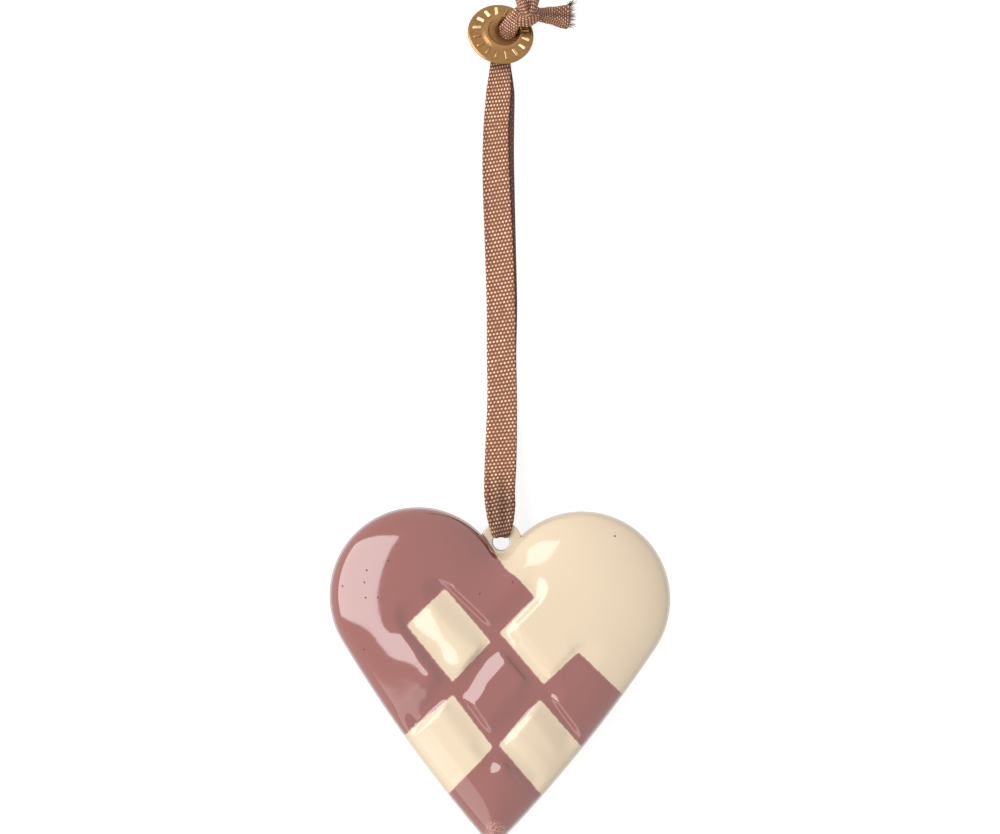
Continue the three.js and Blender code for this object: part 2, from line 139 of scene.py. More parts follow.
class Paint:
    """A material under construction, with one Principled shader."""

    def __init__(self, name: str) -> None:
        """Makes an empty material with its shader and output."""
        self.material = bpy.data.materials.new(name)
        self.material.use_nodes = True
        self.tree = self.material.node_tree
        self.tree.nodes.clear()
        output = self.tree.nodes.new("ShaderNodeOutputMaterial")
        self.shader = self.tree.nodes.new("ShaderNodeBsdfPrincipled")
        self.tree.links.new(self.shader.outputs[0], output.inputs["Surface"])

    def put(self, place: bpy.types.NodeSocket, value: Any) -> None:
        """Links or sets one input socket."""
        if isinstance(value, Sock):
            self.tree.links.new(value.socket, place)
        elif isinstance(value, tuple) and len(value) == 3 and place.type == "RGBA":
            place.default_value = (*value, 1.0)
        else:
            place.default_value = value

    def node(
        self,
        kind: str,
        settings: dict[str, Any] | None = None,
        values: dict[Any, Any] | None = None,
        out: int | str = 0,
    ) -> Sock:
        """Adds any node but a Math one.

        Args:
            kind: The node's type.
            settings: Its settings.
            values: Values or links of its inputs, by name or place.
            out: The output that is returned, by name or place.

        Returns:
            The chosen output.
        """
        node = self.tree.nodes.new(kind)
        for name, setting in (settings or {}).items():
            setattr(node, name, setting)
        for name, value in (values or {}).items():
            self.put(node.inputs[name], value)
        return Sock(self.tree, node.outputs[out])

    def shade(self, **values: Any) -> None:
        """Sets or links the shader's sockets; an underscore in a name stands for a space."""
        for name, value in values.items():
            self.put(self.shader.inputs[name.replace("_", " ")], value)

    def mix(self, share: Any, low: Any, high: Any) -> Sock:
        """Colour between two colours."""
        return self.node("ShaderNodeMix", {"data_type": "RGBA"}, {0: share, 6: low, 7: high}, out=2)

    def step(self, value: Sock, start: float, end: float) -> Sock:
        """Share from 0 at start to 1 at end, with a smooth rise."""
        settings = {"interpolation_type": "SMOOTHSTEP"}
        return self.node("ShaderNodeMapRange", settings, {0: value, 1: start, 2: end})

    def noise(self, where: Sock, scale: float, detail: float = 2.0, roughness: float = 0.5) -> Sock:
        """Noise around 0.5 at a scale per unit of the coordinates."""
        values = {"Vector": where, "Scale": scale, "Detail": detail, "Roughness": roughness}
        return self.node("ShaderNodeTexNoise", {}, values)

    def place(self) -> Sock:
        """Position on the piece, in metres."""
        return self.node("ShaderNodeTexCoord", out="Object")

    def attribute(self, name: str) -> Sock:
        """Value of one of the mesh's attributes."""
        return self.node("ShaderNodeAttribute", {"attribute_name": name}, out="Fac")

    def away(self, where: Sock, x: float, y: float) -> Sock:
        """Distance in metres from a place on the table given in millimetres."""
        values = {0: where, 1: (x * MM, y * MM, 0.0)}
        return self.node("ShaderNodeVectorMath", {"operation": "DISTANCE"}, values, out="Value")

    def bump(self, height: Sock, distance: float) -> Sock:
        """Normal bent by a height of that distance in metres."""
        return self.node("ShaderNodeBump", {}, {"Height": height, "Distance": distance})


# Mesh tools


def clear_selection() -> None:
    """Leaves nothing selected and no object active."""
    for chosen in list(bpy.context.selected_objects):
        chosen.select_set(False)
    bpy.context.view_layer.objects.active = None


def choose(*objects: bpy.types.Object) -> None:
    """Selects these objects alone and makes the first active."""
    clear_selection()
    for chosen in objects:
        chosen.select_set(True)
    bpy.context.view_layer.objects.active = objects[0]


def unit_grid(name: str, columns: int, rows: int) -> tuple[bpy.types.Object, np.ndarray]:
    """Adds a grid of faces.

    Args:
        name: The object's name.
        columns: Faces along the first way.
        rows: Faces along the second way.

    Returns:
        The object, and its vertices' places as shares from 0 to 1 of both ways.
    """
    clear_selection()
    bpy.ops.mesh.primitive_grid_add(x_subdivisions=columns, y_subdivisions=rows, size=1.0)
    grid = bpy.context.active_object
    grid.name = name
    places = np.empty(3 * len(grid.data.vertices))
    grid.data.vertices.foreach_get("co", places)
    shares = places.reshape(-1, 3)[:, :2] + 0.5
    return grid, np.clip(shares, 0.0, 1.0)


def points_of(piece: bpy.types.Object) -> np.ndarray:
    """Places of a piece's vertices, in millimetres."""
    places = np.empty(3 * len(piece.data.vertices))
    piece.data.vertices.foreach_get("co", places)
    return places.reshape(-1, 3) / MM


def move_points(piece: bpy.types.Object, points: np.ndarray) -> None:
    """Moves a piece's vertices to these points, in millimetres."""
    piece.data.vertices.foreach_set("co", (points * MM).astype(np.float64).ravel())
    piece.data.update()


def lay_weave(piece: bpy.types.Object, values: np.ndarray) -> None:
    """Gives a piece a UV map in millimetres, from one pair of values per vertex."""
    mesh = piece.data
    corners = np.empty(len(mesh.loops), dtype=np.int32)
    mesh.loops.foreach_get("vertex_index", corners)
    layer = mesh.uv_layers.active or mesh.uv_layers.new(name="UVMap")
    layer.data.foreach_set("uv", values[corners].astype(np.float32).ravel())


def add_values(piece: bpy.types.Object, name: str, values: np.ndarray) -> None:
    """Stores one number per vertex under a name."""
    layer = piece.data.attributes.new(name, "FLOAT", "POINT")
    layer.data.foreach_set("value", values.astype(np.float32))


def joined(name: str, pieces: Sequence[bpy.types.Object]) -> bpy.types.Object:
    """Joins pieces into one object of that name."""
    choose(*pieces)
    bpy.ops.object.join()
    whole = bpy.context.active_object
    whole.name = name
    whole.data.name = name
    return whole


def close_seams(piece: bpy.types.Object, distance: float = 0.002) -> None:
    """Merges vertices closer than a distance in millimetres and turns all faces outwards."""
    choose(piece)
    bpy.ops.object.mode_set(mode="EDIT")
    bpy.ops.mesh.select_all(action="SELECT")
    bpy.ops.mesh.remove_doubles(threshold=distance * MM)
    bpy.ops.mesh.normals_make_consistent(inside=False)
    bpy.ops.mesh.select_all(action="DESELECT")
    bpy.ops.object.mode_set(mode="OBJECT")


def smooth(piece: bpy.types.Object, angle: float | None = None) -> None:
    """Shades a piece smooth, or only where its faces meet at less than an angle in degrees."""
    choose(piece)
    if angle is None:
        bpy.ops.object.shade_smooth()
    else:
        bpy.ops.object.shade_smooth_by_angle(angle=math.radians(angle))


def dress(piece: bpy.types.Object, *finishes: bpy.types.Material) -> None:
    """Gives a piece its materials, one per slot."""
    piece.data.materials.clear()
    for finish in finishes:
        piece.data.materials.append(finish)


def spun(name: str, profile: Sequence[tuple[float, float]], steps: int) -> bpy.types.Object:
    """Turns a closed profile once round the Z axis.

    Args:
        name: The object's name.
        profile: Radius and height of its corners, in millimetres.
        steps: Steps of the turn.

    Returns:
        The closed ring.
    """
    clear_selection()
    bpy.ops.mesh.primitive_circle_add(vertices=len(profile), radius=1.0, fill_type="NOTHING")
    ring = bpy.context.active_object
    ring.name = name
    move_points(ring, np.array([(radius, 0.0, height) for radius, height in profile]))
    bpy.ops.object.mode_set(mode="EDIT")
    bpy.ops.mesh.select_all(action="SELECT")
    bpy.ops.mesh.spin(steps=steps, angle=2 * math.pi, center=(0, 0, 0), axis=(0, 0, 1))
    bpy.ops.object.mode_set(mode="OBJECT")
    close_seams(ring)
    return ring


def rounded(corners: Sequence[tuple[float, float]], radius: float, parts: int = 5) -> list:
    """Rounds the corners of a closed profile.

    Args:
        corners: The profile's corners.
        radius: Radius of the rounding, less where a side is short.
        parts: Points on each corner.

    Returns:
        The points of the rounded profile.
    """
    points = [np.array(corner, dtype=float) for corner in corners]
    found = []
    for place, corner in enumerate(points):
        before, after = points[place - 1] - corner, points[(place + 1) % len(points)] - corner
        reach = min(radius, 0.45 * np.linalg.norm(before), 0.45 * np.linalg.norm(after))
        start = corner + before / np.linalg.norm(before) * reach
        end = corner + after / np.linalg.norm(after) * reach
        for part in range(parts):
            t = part / (parts - 1)
            found.append((1 - t) ** 2 * start + 2 * t * (1 - t) * corner + t**2 * end)
    return [tuple(point) for point in found]


def smoothstep(values: np.ndarray, start: float, end: float) -> np.ndarray:
    """Share from 0 at start to 1 at end, with a smooth rise."""
    t = np.clip((values - start) / (end - start), 0.0, 1.0)
    return t * t * (3 - 2 * t)


def route_through(points: Sequence[Sequence[float]], spacing: float) -> tuple[np.ndarray, np.ndarray]:
    """Smooth line through points, at even steps.

    Args:
        points: Rows of x, y, z and any further values, in millimetres.
        spacing: Step along the line, in millimetres.

    Returns:
        The rows at each step, and the length from the start to each.
    """
    table = np.array(points, dtype=float)
    places = table[:, :3]
    ends = np.vstack([2 * places[0] - places[1], places, 2 * places[-1] - places[-2]])
    gaps = np.sqrt(np.linalg.norm(np.diff(ends, axis=0), axis=1))
    t = np.linspace(0, 1, ROUTE_PARTS, endpoint=False)[:, None]
    rows = []
    for span in range(len(table) - 1):
        p0, p1, p2, p3 = ends[span : span + 4]
        d0, d1, d2 = gaps[span : span + 3]
        m1 = ((p1 - p0) / d0 - (p2 - p0) / (d0 + d1) + (p2 - p1) / d1) * d1
        m2 = ((p2 - p1) / d1 - (p3 - p1) / (d1 + d2) + (p3 - p2) / d2) * d1
        line = p1 + m1 * t + (3 * (p2 - p1) - 2 * m1 - m2) * t**2 + (2 * (p1 - p2) + m1 + m2) * t**3
        rest = table[span, 3:] + (table[span + 1, 3:] - table[span, 3:]) * t
        rows.append(np.hstack([line, rest]))
    rows.append(table[-1:])
    dense = np.vstack(rows)
    run = np.concatenate([[0.0], np.cumsum(np.linalg.norm(np.diff(dense[:, :3], axis=0), axis=1))])
    count = max(2, int(math.ceil(run[-1] / spacing)) + 1)
    lengths = np.linspace(0, run[-1], count)
    even = np.column_stack([np.interp(lengths, run, column) for column in dense.T])
    return even, lengths


# Finishes


class Tone(Enum):
    """Measured colours of the ornament, as linear values."""

    ROSE = linear(107, 53, 47)
    # Painted highlight along the rose side of the cream borders.
    ROSE_LINE = linear(150, 108, 96)
    CREAM = linear(171, 155, 133)
    # Painted shade for the cream paint along the rim.
    CREAM_THIN = linear(120, 106, 88)
    STEEL = linear(146, 143, 139)
    SPECK = linear(84, 34, 32)
    DRIP = linear(206, 156, 132)
    THREAD = linear(112, 68, 50)
    GLINT = linear(212, 174, 142)
    BRASS = linear(152, 114, 74)
    BRASS_DARK = linear(112, 84, 52)
    # Painted highlight colour of the brass.
    BRASS_BRIGHT = linear(244, 220, 172)
    FLOOR = linear(122, 121, 120)

    def times(self, factor: float) -> Colour:
        """The colour made darker or lighter by a factor."""
        return tuple(factor * part for part in self.value)


@dataclass(frozen=True)
class Enamel:
    """Glossy two-colour enamel, flowed over pressed sheet."""

    wave: float = 0.12
    edge: float = 0.05
    roughness: float = 0.09
    refraction: float = 1.4
    coat_refraction: float = 1.62
    coat_roughness: float = 0.07
    speck_radius: float = 0.24
    specks: tuple = (
        (-27.4, 21.1), (-27.8, 18.6), (-32.3, 17.7), (-27.5, 15.5), (-25.0, 15.6),
        (-23.0, 23.2), (-27.6, 4.8), (23.3, 29.4), (2.6, 19.4), (-4.1, 16.9),
    )
    drip: tuple = (0.2, -31.9)
    drip_radius: float = 2.9
    drip_share: float = 0.42
    edge_highlight_offset: float = 0.12
    edge_highlight_share: float = 0.35
    # Reach and strength of the painted shade along the rim.
    rim_shade_reach: float = 1.3
    rim_shade_share: float = 0.35
    pit_share: float = 0.9
    front_from: tuple = (0.0068, 0.0074)
    layer_edge: tuple = (-0.24, 0.06)
    layer_rise: float = 1.1
    relief: float = 0.00008

    def pits(self, paint: Paint, flat: Sock) -> Sock:
        """Share from 0 to 1 of the pinholes at these places of the front."""
        found = None
        for x, y in self.specks:
            away = paint.away(flat, x, y)
            pit = 1 - paint.step(away, 0.5 * self.speck_radius * MM, self.speck_radius * MM)
            found = pit if found is None else found.at_least(pit)
        return found

    def material(self) -> bpy.types.Material:
        """Builds the material, which reads the attributes cream and rim.

        Returns:
            The enamel.
        """
        paint = Paint("two_tone_enamel")
        place = paint.place()
        depth = paint.attribute("cream") + (paint.noise(place, 900.0, 3.0) - 0.5) * (4 * self.wave)
        cream = paint.step(depth, -self.edge, self.edge)
        cloud = paint.noise(place, 60.0, 3.0)
        rose = paint.mix(cloud, Tone.ROSE.times(0.95), Tone.ROSE.times(1.05))
        warm = paint.mix(cloud, Tone.CREAM.times(0.98), Tone.CREAM.times(1.02))
        colour = paint.mix(cream, rose, warm)
        # Painted highlight: a pale line on the rose side of each cream border, for the light on its raised
        # edge.
        line = 1 - paint.step(abs(depth + self.edge_highlight_offset), 0.06, 0.17)
        colour = paint.mix(line * self.edge_highlight_share, colour, Tone.ROSE_LINE.value)
        # Painted shade along the rim: near it the enamel darkens towards a dark rose on the rose paint and a
        # darker cream on the cream. The tab is kept clear of it.
        rim_shade = 1 - paint.step(paint.attribute("rim"), 0.0, self.rim_shade_reach)
        edge = paint.mix(cream, Tone.SPECK.value, Tone.CREAM_THIN.value)
        colour = paint.mix(rim_shade * self.rim_shade_share, colour, edge)
        height = paint.node("ShaderNodeSeparateXYZ", {}, {0: place}, out=2)
        front = paint.step(height, *self.front_from)
        flat = paint.node("ShaderNodeVectorMath", {"operation": "MULTIPLY"}, {0: place, 1: (1.0, 1.0, 0.0)})
        pits = self.pits(paint, flat) * front
        colour = paint.mix(pits * self.pit_share, colour, Tone.SPECK.value)
        away = paint.away(flat, *self.drip)
        near = 1 - paint.step(away, 0.4 * self.drip_radius * MM, self.drip_radius * MM)
        grain = paint.step(paint.noise(place, 3400.0, 2.0), 0.48, 0.6) * near * front
        colour = paint.mix(grain * self.drip_share, colour, Tone.DRIP.value)
        layer = paint.step(depth, *self.layer_edge) * self.layer_rise
        orange_peel = paint.noise(place, 420.0, 2.0)
        waves = paint.noise(place, 90.0, 1.0)
        uneven = orange_peel * 0.35 + waves - pits * 1.5 + grain * 0.5 + layer
        paint.shade(
            Base_Color=colour,
            Roughness=self.roughness + (cloud - 0.5) * 0.03 + grain * 0.2 + pits * 0.5,
            Normal=paint.bump(uneven, self.relief),
            IOR=self.refraction,
            Coat_Weight=(1 - cream * 0.6) * (1 - pits * self.pit_share),
            Coat_IOR=self.coat_refraction,
            Coat_Roughness=self.coat_roughness,
        )
        return paint.material


@dataclass(frozen=True)
class SteelEdge:
    """Thin bare edge of the pressed sheet at the seam and in the hole."""

    roughness: float = 0.38

    def material(self) -> bpy.types.Material:
        """Builds the material.

        Returns:
            The steel.
        """
        paint = Paint("steel_edge")
        grain = paint.noise(paint.place(), 1500.0, 3.0)
        colour = paint.mix(grain, Tone.STEEL.times(0.8), Tone.STEEL.times(1.2))
        paint.shade(
            Base_Color=colour,
            Metallic=0.6,
            Roughness=self.roughness + (grain - 0.5) * 0.2,
            Normal=paint.bump(grain, 0.00003),
        )
        return paint.material


@dataclass(frozen=True)
class Weave:
    """Plain-woven ribbon with metallic floats in staggered rows, read from a UV map in millimetres."""

    across: float = 0.79
    along: float = 1.57
    round_share: float = 0.62

    def float_height(self, u: np.ndarray, v: np.ndarray) -> np.ndarray:
        """Height of the floats from 0 to 1 at places in millimetres."""
        wave = np.cos(2 * np.pi * u / self.across) * np.cos(2 * np.pi * v / self.along)
        wave = self.round_share * wave + (1 - self.round_share) * np.cos(4 * np.pi * v / self.along)
        return np.clip(0.15 + 0.85 * wave, 0, 1) ** 0.8

    def material(self) -> bpy.types.Material:
        """Builds the material, which reads its painted shade from a mesh attribute.

        Returns:
            The ribbon.
        """
        paint = Paint("ribbon_weave")
        chart = paint.node("ShaderNodeUVMap", {"uv_map": "UVMap"})
        parts = paint.node("ShaderNodeSeparateXYZ", {}, {0: chart})
        u, v = parts, Sock(paint.tree, parts.socket.node.outputs[1])
        wave = (u * (2 * math.pi / self.across)).cos() * (v * (2 * math.pi / self.along)).cos()
        rows = (v * (4 * math.pi / self.along)).cos()
        dot = paint.step(wave * self.round_share + rows * (1 - self.round_share), 0.02, 0.45)
        # Painted shade: this attribute darkens the ground and dims the floats where shade falls on the
        # ribbon.
        painted_shade = paint.attribute("painted_shade")
        row = (v * (2 / self.along) + 0.5).floor()
        column = (u * (2 / self.across) + 0.5).floor()
        cell = paint.node("ShaderNodeCombineXYZ", {}, {0: column, 1: row, 2: 0.0})
        chance = paint.node("ShaderNodeTexWhiteNoise", {"noise_dimensions": "3D"}, {"Vector": cell})
        thread = paint.noise(chart, 9.0, 2.0)
        ground = paint.mix(thread, Tone.THREAD.times(0.55), Tone.THREAD.times(1.4))
        # The ground between rows of floats is painted darker too, as shade.
        groove = 1 - paint.step(rows, -0.9, 0.2)
        shadow = (painted_shade * 0.9 + groove * 0.35).at_most(1.0)
        ground = paint.mix(shadow, ground, Tone.THREAD.times(0.25))
        glint = paint.mix(chance, Tone.GLINT.times(0.6), Tone.GLINT.times(1.15))
        patches = paint.noise(chart, 0.12, 2.0)
        shine = dot * (0.6 + patches * 0.7) * (1 - painted_shade * 0.8)
        paint.shade(
            Base_Color=paint.mix(shine.at_most(1.0), ground, glint),
            Metallic=dot * 0.55,
            Roughness=0.62 - dot * 0.27,
            Specular_IOR_Level=0.25,
            Normal=paint.bump(dot + thread * 0.3, 0.00008),
        )
        return paint.material


@dataclass(frozen=True)
class Brass:
    """Worn, softly polished brass with dark lacquer left in its hollows and painted highlights on its raised
    strokes.
    """

    roughness: float = 0.2

    def material(self) -> bpy.types.Material:
        """Builds the material, which reads its worn tone and painted highlights from one mesh attribute.

        Returns:
            The brass.
        """
        paint = Paint("worn_brass")
        place = paint.place()
        wear_and_highlight = paint.attribute("wear_and_highlight")
        blotch = paint.noise(place, 420.0, 4.0, 0.65)
        shine = (wear_and_highlight + (blotch - 0.5) * 1.0).at_least(0.0).at_most(1.0)
        # Values above 1, given to the strokes, blend to a pale brass: a painted highlight.
        highlight_share = paint.step(wear_and_highlight, 1.0, 2.0)
        worn = paint.mix(shine, Tone.BRASS_DARK.value, Tone.BRASS.value)
        paint.shade(
            Base_Color=paint.mix(highlight_share, worn, Tone.BRASS_BRIGHT.value),
            Metallic=1.0,
            Roughness=self.roughness + (1 - shine) * 0.22,
            Normal=paint.bump(blotch, 0.00006),
        )
        return paint.material


@dataclass(frozen=True)
class PaleFloor:
    """Pale studio floor that glows, so that shadows on it stay weak."""

    def material(self) -> bpy.types.Material:
        """Builds the material.

        Returns:
            The floor.
        """
        paint = Paint("pale_floor")
        grain = paint.noise(paint.place(), 40.0, 2.0)
        paint.shade(
            Base_Color=paint.mix(grain, Tone.FLOOR.times(0.985), Tone.FLOOR.value),
            Roughness=0.9,
            Emission_Color=(1.0, 1.0, 1.0),
            Emission_Strength=0.8,
        )
        return paint.material


@dataclass(frozen=True)
class Finishes:
    """The materials of all pieces."""

    enamel: bpy.types.Material = field(default_factory=lambda: Enamel().material())
    steel: bpy.types.Material = field(default_factory=lambda: SteelEdge().material())
    weave: bpy.types.Material = field(default_factory=lambda: Weave().material())
    brass: bpy.types.Material = field(default_factory=lambda: Brass().material())
    floor: bpy.types.Material = field(default_factory=lambda: PaleFloor().material())


# Heart


@dataclass
class HeartForm:
    """Outline, strips and domes of the heart, in millimetres."""

    width: float = 70.0
    height: float = 68.5
    lobe_share: float = 0.2586
    side_radius: float = 294.0
    tip_radius: float = 2.6
    cleft_radius: float = 2.2
    lip: float = 0.14
    seam: float = 7.0
    seam_thickness: float = 0.8
    front_dome: float = 6.45
    dome_run: float = 17.0
    back_margin: float = 0.15
    end_run: float = 5.5
    side_run: float = 1.7
    floor_share: float = 0.1
    front_valley: float = 1.3
    back_valley: float = 0.8
    rim_fade: float = 4.0
    strips: int = 3
    gentle: dict = field(default_factory=lambda: {
        (0, 1, True): (0.1, 5.5),
        (1, 0, True): (0.75, 5.5),
        (0, 0, False): (0.0, 5.5),
        (2, 0, False): (0.15, 5.5),
        (2, 0, True): (0.3, 5.5),
        (0, 2, False): (1.0, 7.0),
        (2, 2, True): (0.0, 5.5),
    })
    swells: list = field(default_factory=lambda: [
        (-16.0, 4.2, 5.0, 0.65), (-8.0, 2.0, 4.0, 0.5), (1.8, 22.4, 4.1, 0.7), (-12.6, -1.0, 4.0, 0.6),
        (15.6, -3.6, 4.0, -0.5), (1.6, -19.0, 1.9, 0.6),
    ])
    samples: int = 900
    trials: int = 2001
    block: int = 4000
    shares: list = field(default_factory=lambda: [
        [(0, 0.74), (-0.323, 0.519), (-0.541, 0.291), (-0.804, -0.004)],
        [(0.207, 0.479), (-0.016, 0.233), (-0.261, -0.079), (-0.536, -0.369)],
        [(0.467, 0.162), (0.262, -0.084), (0, -0.421), (-0.263, -0.722)],
        [(0.732, -0.083), (0.499, -0.402), (0.272, -0.714), (0, -1)],
    ])

    def __post_init__(self) -> None:
        """Works out the arcs of the outline, its samples and the crossings on it."""
        self.lobe_radius = self.lobe_share * self.width
        lobe = np.array([self.width / 2 - self.lobe_radius, self.height / 2 - self.lobe_radius])
        tip = np.array([0.0, self.tip_radius - self.height / 2])
        to_lobe = self.side_radius - self.lobe_radius
        to_tip = self.side_radius - self.tip_radius
        apart = float(np.linalg.norm(lobe - tip))
        along = (to_lobe**2 - to_tip**2 + apart**2) / (2 * apart)
        across = math.sqrt(to_lobe**2 - along**2)
        down = (tip - lobe) / apart
        side = lobe + down * along + np.array([down[1], -down[0]]) * across
        cleft_rise = math.sqrt((self.lobe_radius + self.cleft_radius) ** 2 - lobe[0] ** 2)
        cleft = np.array([0.0, lobe[1] + cleft_rise])
        shoulder = self.heading(side, lobe)
        ankle = self.heading(side, tip)
        quarter = -math.pi / 2
        self.arcs = [
            (cleft, self.cleft_radius, quarter, self.heading(cleft, lobe), 1),
            (lobe, self.lobe_radius, self.heading(lobe, cleft), shoulder, -1),
            (side, self.side_radius, shoulder, ankle, -1),
            (tip, self.tip_radius, ankle, quarter, -1),
        ]
        self.starts = np.cumsum([0.0] + [radius * abs(end - start) for _, radius, start, end, _ in self.arcs])
        self.half = float(self.starts[-1])
        lengths = (np.arange(self.samples) + 0.5) * self.half / self.samples
        both = [(self.outline(hand, lengths, self.lip), self.outline(hand, lengths, 0.0)) for hand in (-1, 1)]
        self.rim = np.vstack([inner for inner, _ in both])
        outward = np.vstack([outer for _, outer in both]) - self.rim
        self.rim_normals = outward / np.linalg.norm(outward, axis=1)[:, None]
        self.right = self.rim_lengths(1, [self.shares[self.strips][j] for j in range(self.strips)])
        self.left = self.rim_lengths(-1, [self.shares[i][self.strips] for i in range(self.strips)])
        self.valleys = self.find_valleys()

    @staticmethod
    def heading(start: np.ndarray, end: np.ndarray) -> float:
        """Direction from one point to another."""
        return math.atan2(end[1] - start[1], end[0] - start[0])

    def outline(self, hand: int, lengths: np.ndarray, inset: float) -> np.ndarray:
        """Points of the outline.

        Args:
            hand: 1 for the right half, -1 for the left one.
            lengths: Lengths from the cleft.
            inset: How far inside the outline they lie.

        Returns:
            Their x and y.
        """
        lengths = np.clip(np.asarray(lengths, dtype=float), 0, self.half)
        found = np.zeros((*lengths.shape, 2))
        for place, (centre, radius, start, end, hollow) in enumerate(self.arcs):
            low, high = self.starts[place], self.starts[place + 1]
            inside = (lengths >= low) & (lengths <= high)
            angle = start + (end - start) * (lengths[inside] - low) / (high - low)
            reach = radius + hollow * inset
            found[inside] = centre + reach * np.stack([np.cos(angle), np.sin(angle)], axis=-1)
        found[..., 0] *= hand
        return found

    def rim_lengths(self, hand: int, shares: list) -> list[float]:
        """Lengths from the cleft at which the crossings of one side lie, and the tip's."""
        trials = np.linspace(0, self.half, self.trials)
        points = self.outline(hand, trials, self.lip)
        found = []
        for across, up in shares:
            aim = np.array([across * self.width / 2, up * self.height / 2])
            found.append(float(trials[np.argmin(np.linalg.norm(points - aim, axis=1))]))
        return [*found, self.half]

    def crossing(self, i: int, j: int) -> np.ndarray:
        """Crossing i strips down to the right and j strips down to the left of the cleft."""
        if i == 0 and j == 0:
            return self.outline(1, np.array(0.0), self.lip)
        if i == self.strips:
            return self.outline(1, np.array(self.right[j]), self.lip)
        if j == self.strips:
            return self.outline(-1, np.array(self.left[i]), self.lip)
        across, up = self.shares[i][j]
        return np.array([across * self.width / 2, up * self.height / 2])

    def edge_right(self, i: int, j: int, t: np.ndarray) -> np.ndarray:
        """Line from a crossing down to the right."""
        if j == self.strips:
            return self.outline(-1, self.left[i] + (self.left[i + 1] - self.left[i]) * t, self.lip)
        start = self.crossing(i, j)
        return start + (self.crossing(i + 1, j) - start) * t[..., None]

    def edge_left(self, i: int, j: int, t: np.ndarray) -> np.ndarray:
        """Line from a crossing down to the left."""
        if i == self.strips:
            return self.outline(1, self.right[j] + (self.right[j + 1] - self.right[j]) * t, self.lip)
        start = self.crossing(i, j)
        return start + (self.crossing(i, j + 1) - start) * t[..., None]

    def cell(self, i: int, j: int, a: np.ndarray, b: np.ndarray) -> np.ndarray:
        """Points of one crossing of two strips, at shares of its two ways."""
        first, second = a[..., None], b[..., None]
        top = self.crossing(i, j) * (1 - first) + self.crossing(i + 1, j) * first
        low = self.crossing(i, j + 1) * (1 - first) + self.crossing(i + 1, j + 1) * first
        corners = top * (1 - second) + low * second
        along = self.edge_right(i, j, a) * (1 - second) + self.edge_right(i, j + 1, a) * second
        across = self.edge_left(i, j, b) * (1 - first) + self.edge_left(i + 1, j, b) * first
        return along + across - corners

    def lobe(self, hand: int, strip: int, s: np.ndarray, t: np.ndarray) -> np.ndarray:
        """Points of one strip's share of a lobe, from the weave (s = 0) to the outline (s = 1)."""
        inner = self.edge_right(strip, 0, t) if hand > 0 else self.edge_left(0, strip, t)
        reach = self.right[0] if hand > 0 else self.left[0]
        outer = self.outline(hand, reach * (strip + t) / self.strips, self.lip)
        return inner + (outer - inner) * s[..., None]

    def find_valleys(self) -> list[tuple[np.ndarray, np.ndarray, int, float, float]]:
        """Stretches where one strip dips under another.

        Returns:
            Start, end, the side on which the strip comes down gently (1 for left of the way from start to
            end, -1 for right), the depth as a share and the length of the gentle side.
        """
        found = []

        def add(i: int, j: int, leftward: bool, gentle: int) -> None:
            """Adds the stretch that leaves a crossing down to the left or to the right."""
            end = self.crossing(i, j + 1) if leftward else self.crossing(i + 1, j)
            depth, run = self.gentle.get((i, j, leftward), (1.0, self.end_run))
            found.append((self.crossing(i, j), end, gentle, depth, run))

        for line in range(1, self.strips):
            for k in range(self.strips):
                side = 1 if (line + k) % 2 == 0 else -1
                add(line, k, True, side)
                add(k, line, False, side)
        add(0, 1, True, -1)
        add(0, 0, False, 1)
        add(2, 0, False, 1)
        return found

    def rim_distance(self, points: np.ndarray) -> np.ndarray:
        """Distance to the rim, true near it and a smooth mean further in."""
        spacing = self.half / self.samples
        found = np.empty(len(points))
        for start in range(0, len(points), self.block):
            block = points[start : start + self.block]
            offsets = block[:, None, :] - self.rim[None, :, :]
            squared = np.maximum((offsets**2).sum(axis=2), 1e-9)
            nearest = squared.argmin(axis=1)
            rows = np.arange(len(block))
            plain = np.abs((offsets[rows, nearest] * self.rim_normals[nearest]).sum(axis=1))
            mean = (3 * math.pi / 8 / (spacing / squared**3).sum(axis=1)) ** 0.2
            share = smoothstep(plain, 0.2, 1.2)
            found[start : start + self.block] = plain * (1 - share) + mean * share
        return found

    def hollow(self, points: np.ndarray) -> np.ndarray:
        """Depth of the weave's valleys, 0 on a strip's back.

        Args:
            points: x and y, in millimetres.

        Returns:
            The depth as a share of the deepest.
        """
        level = np.ones(len(points))
        for start, end, gentle, depth, gentle_run in self.valleys:
            run = end - start
            offset = points - start
            t = np.clip(offset @ run / (run @ run), 0, 1)
            distance = np.linalg.norm(offset - t[:, None] * run, axis=1)
            aside = gentle * (run[0] * offset[:, 1] - run[1] * offset[:, 0]) / np.linalg.norm(run)
            share = smoothstep(aside / np.maximum(distance, 1e-6), -1, 1)
            reach = self.side_run + (gentle_run - self.side_run) * share
            level *= 1 - depth * (1 - smoothstep(distance / reach, self.floor_share, 1))
        return 1 - level

    def rises(self, points: np.ndarray) -> tuple[np.ndarray, np.ndarray]:
        """Heights of both faces.

        Args:
            points: x and y, in millimetres.

        Returns:
            z of the front and of the back.
        """
        rim = self.rim_distance(points)
        t = np.minimum(rim / self.dome_run, 1)
        dome = np.sqrt(1 - (1 - t) ** 2)
        fade = smoothstep(rim, 0, self.rim_fade)
        valley = self.hollow(points) * fade
        top = self.seam + self.seam_thickness / 2
        front = top + self.front_dome * dome - self.front_valley * valley
        for x, y, radius, height in self.swells:
            away = np.linalg.norm(points - np.array([x, y]), axis=1)
            front += height * fade * np.exp(-((away / radius) ** 2))
        base = self.seam - self.seam_thickness / 2
        rise = (base + self.back_margin) * dome - self.back_valley * valley
        return front, base - np.clip(rise, 0, base)


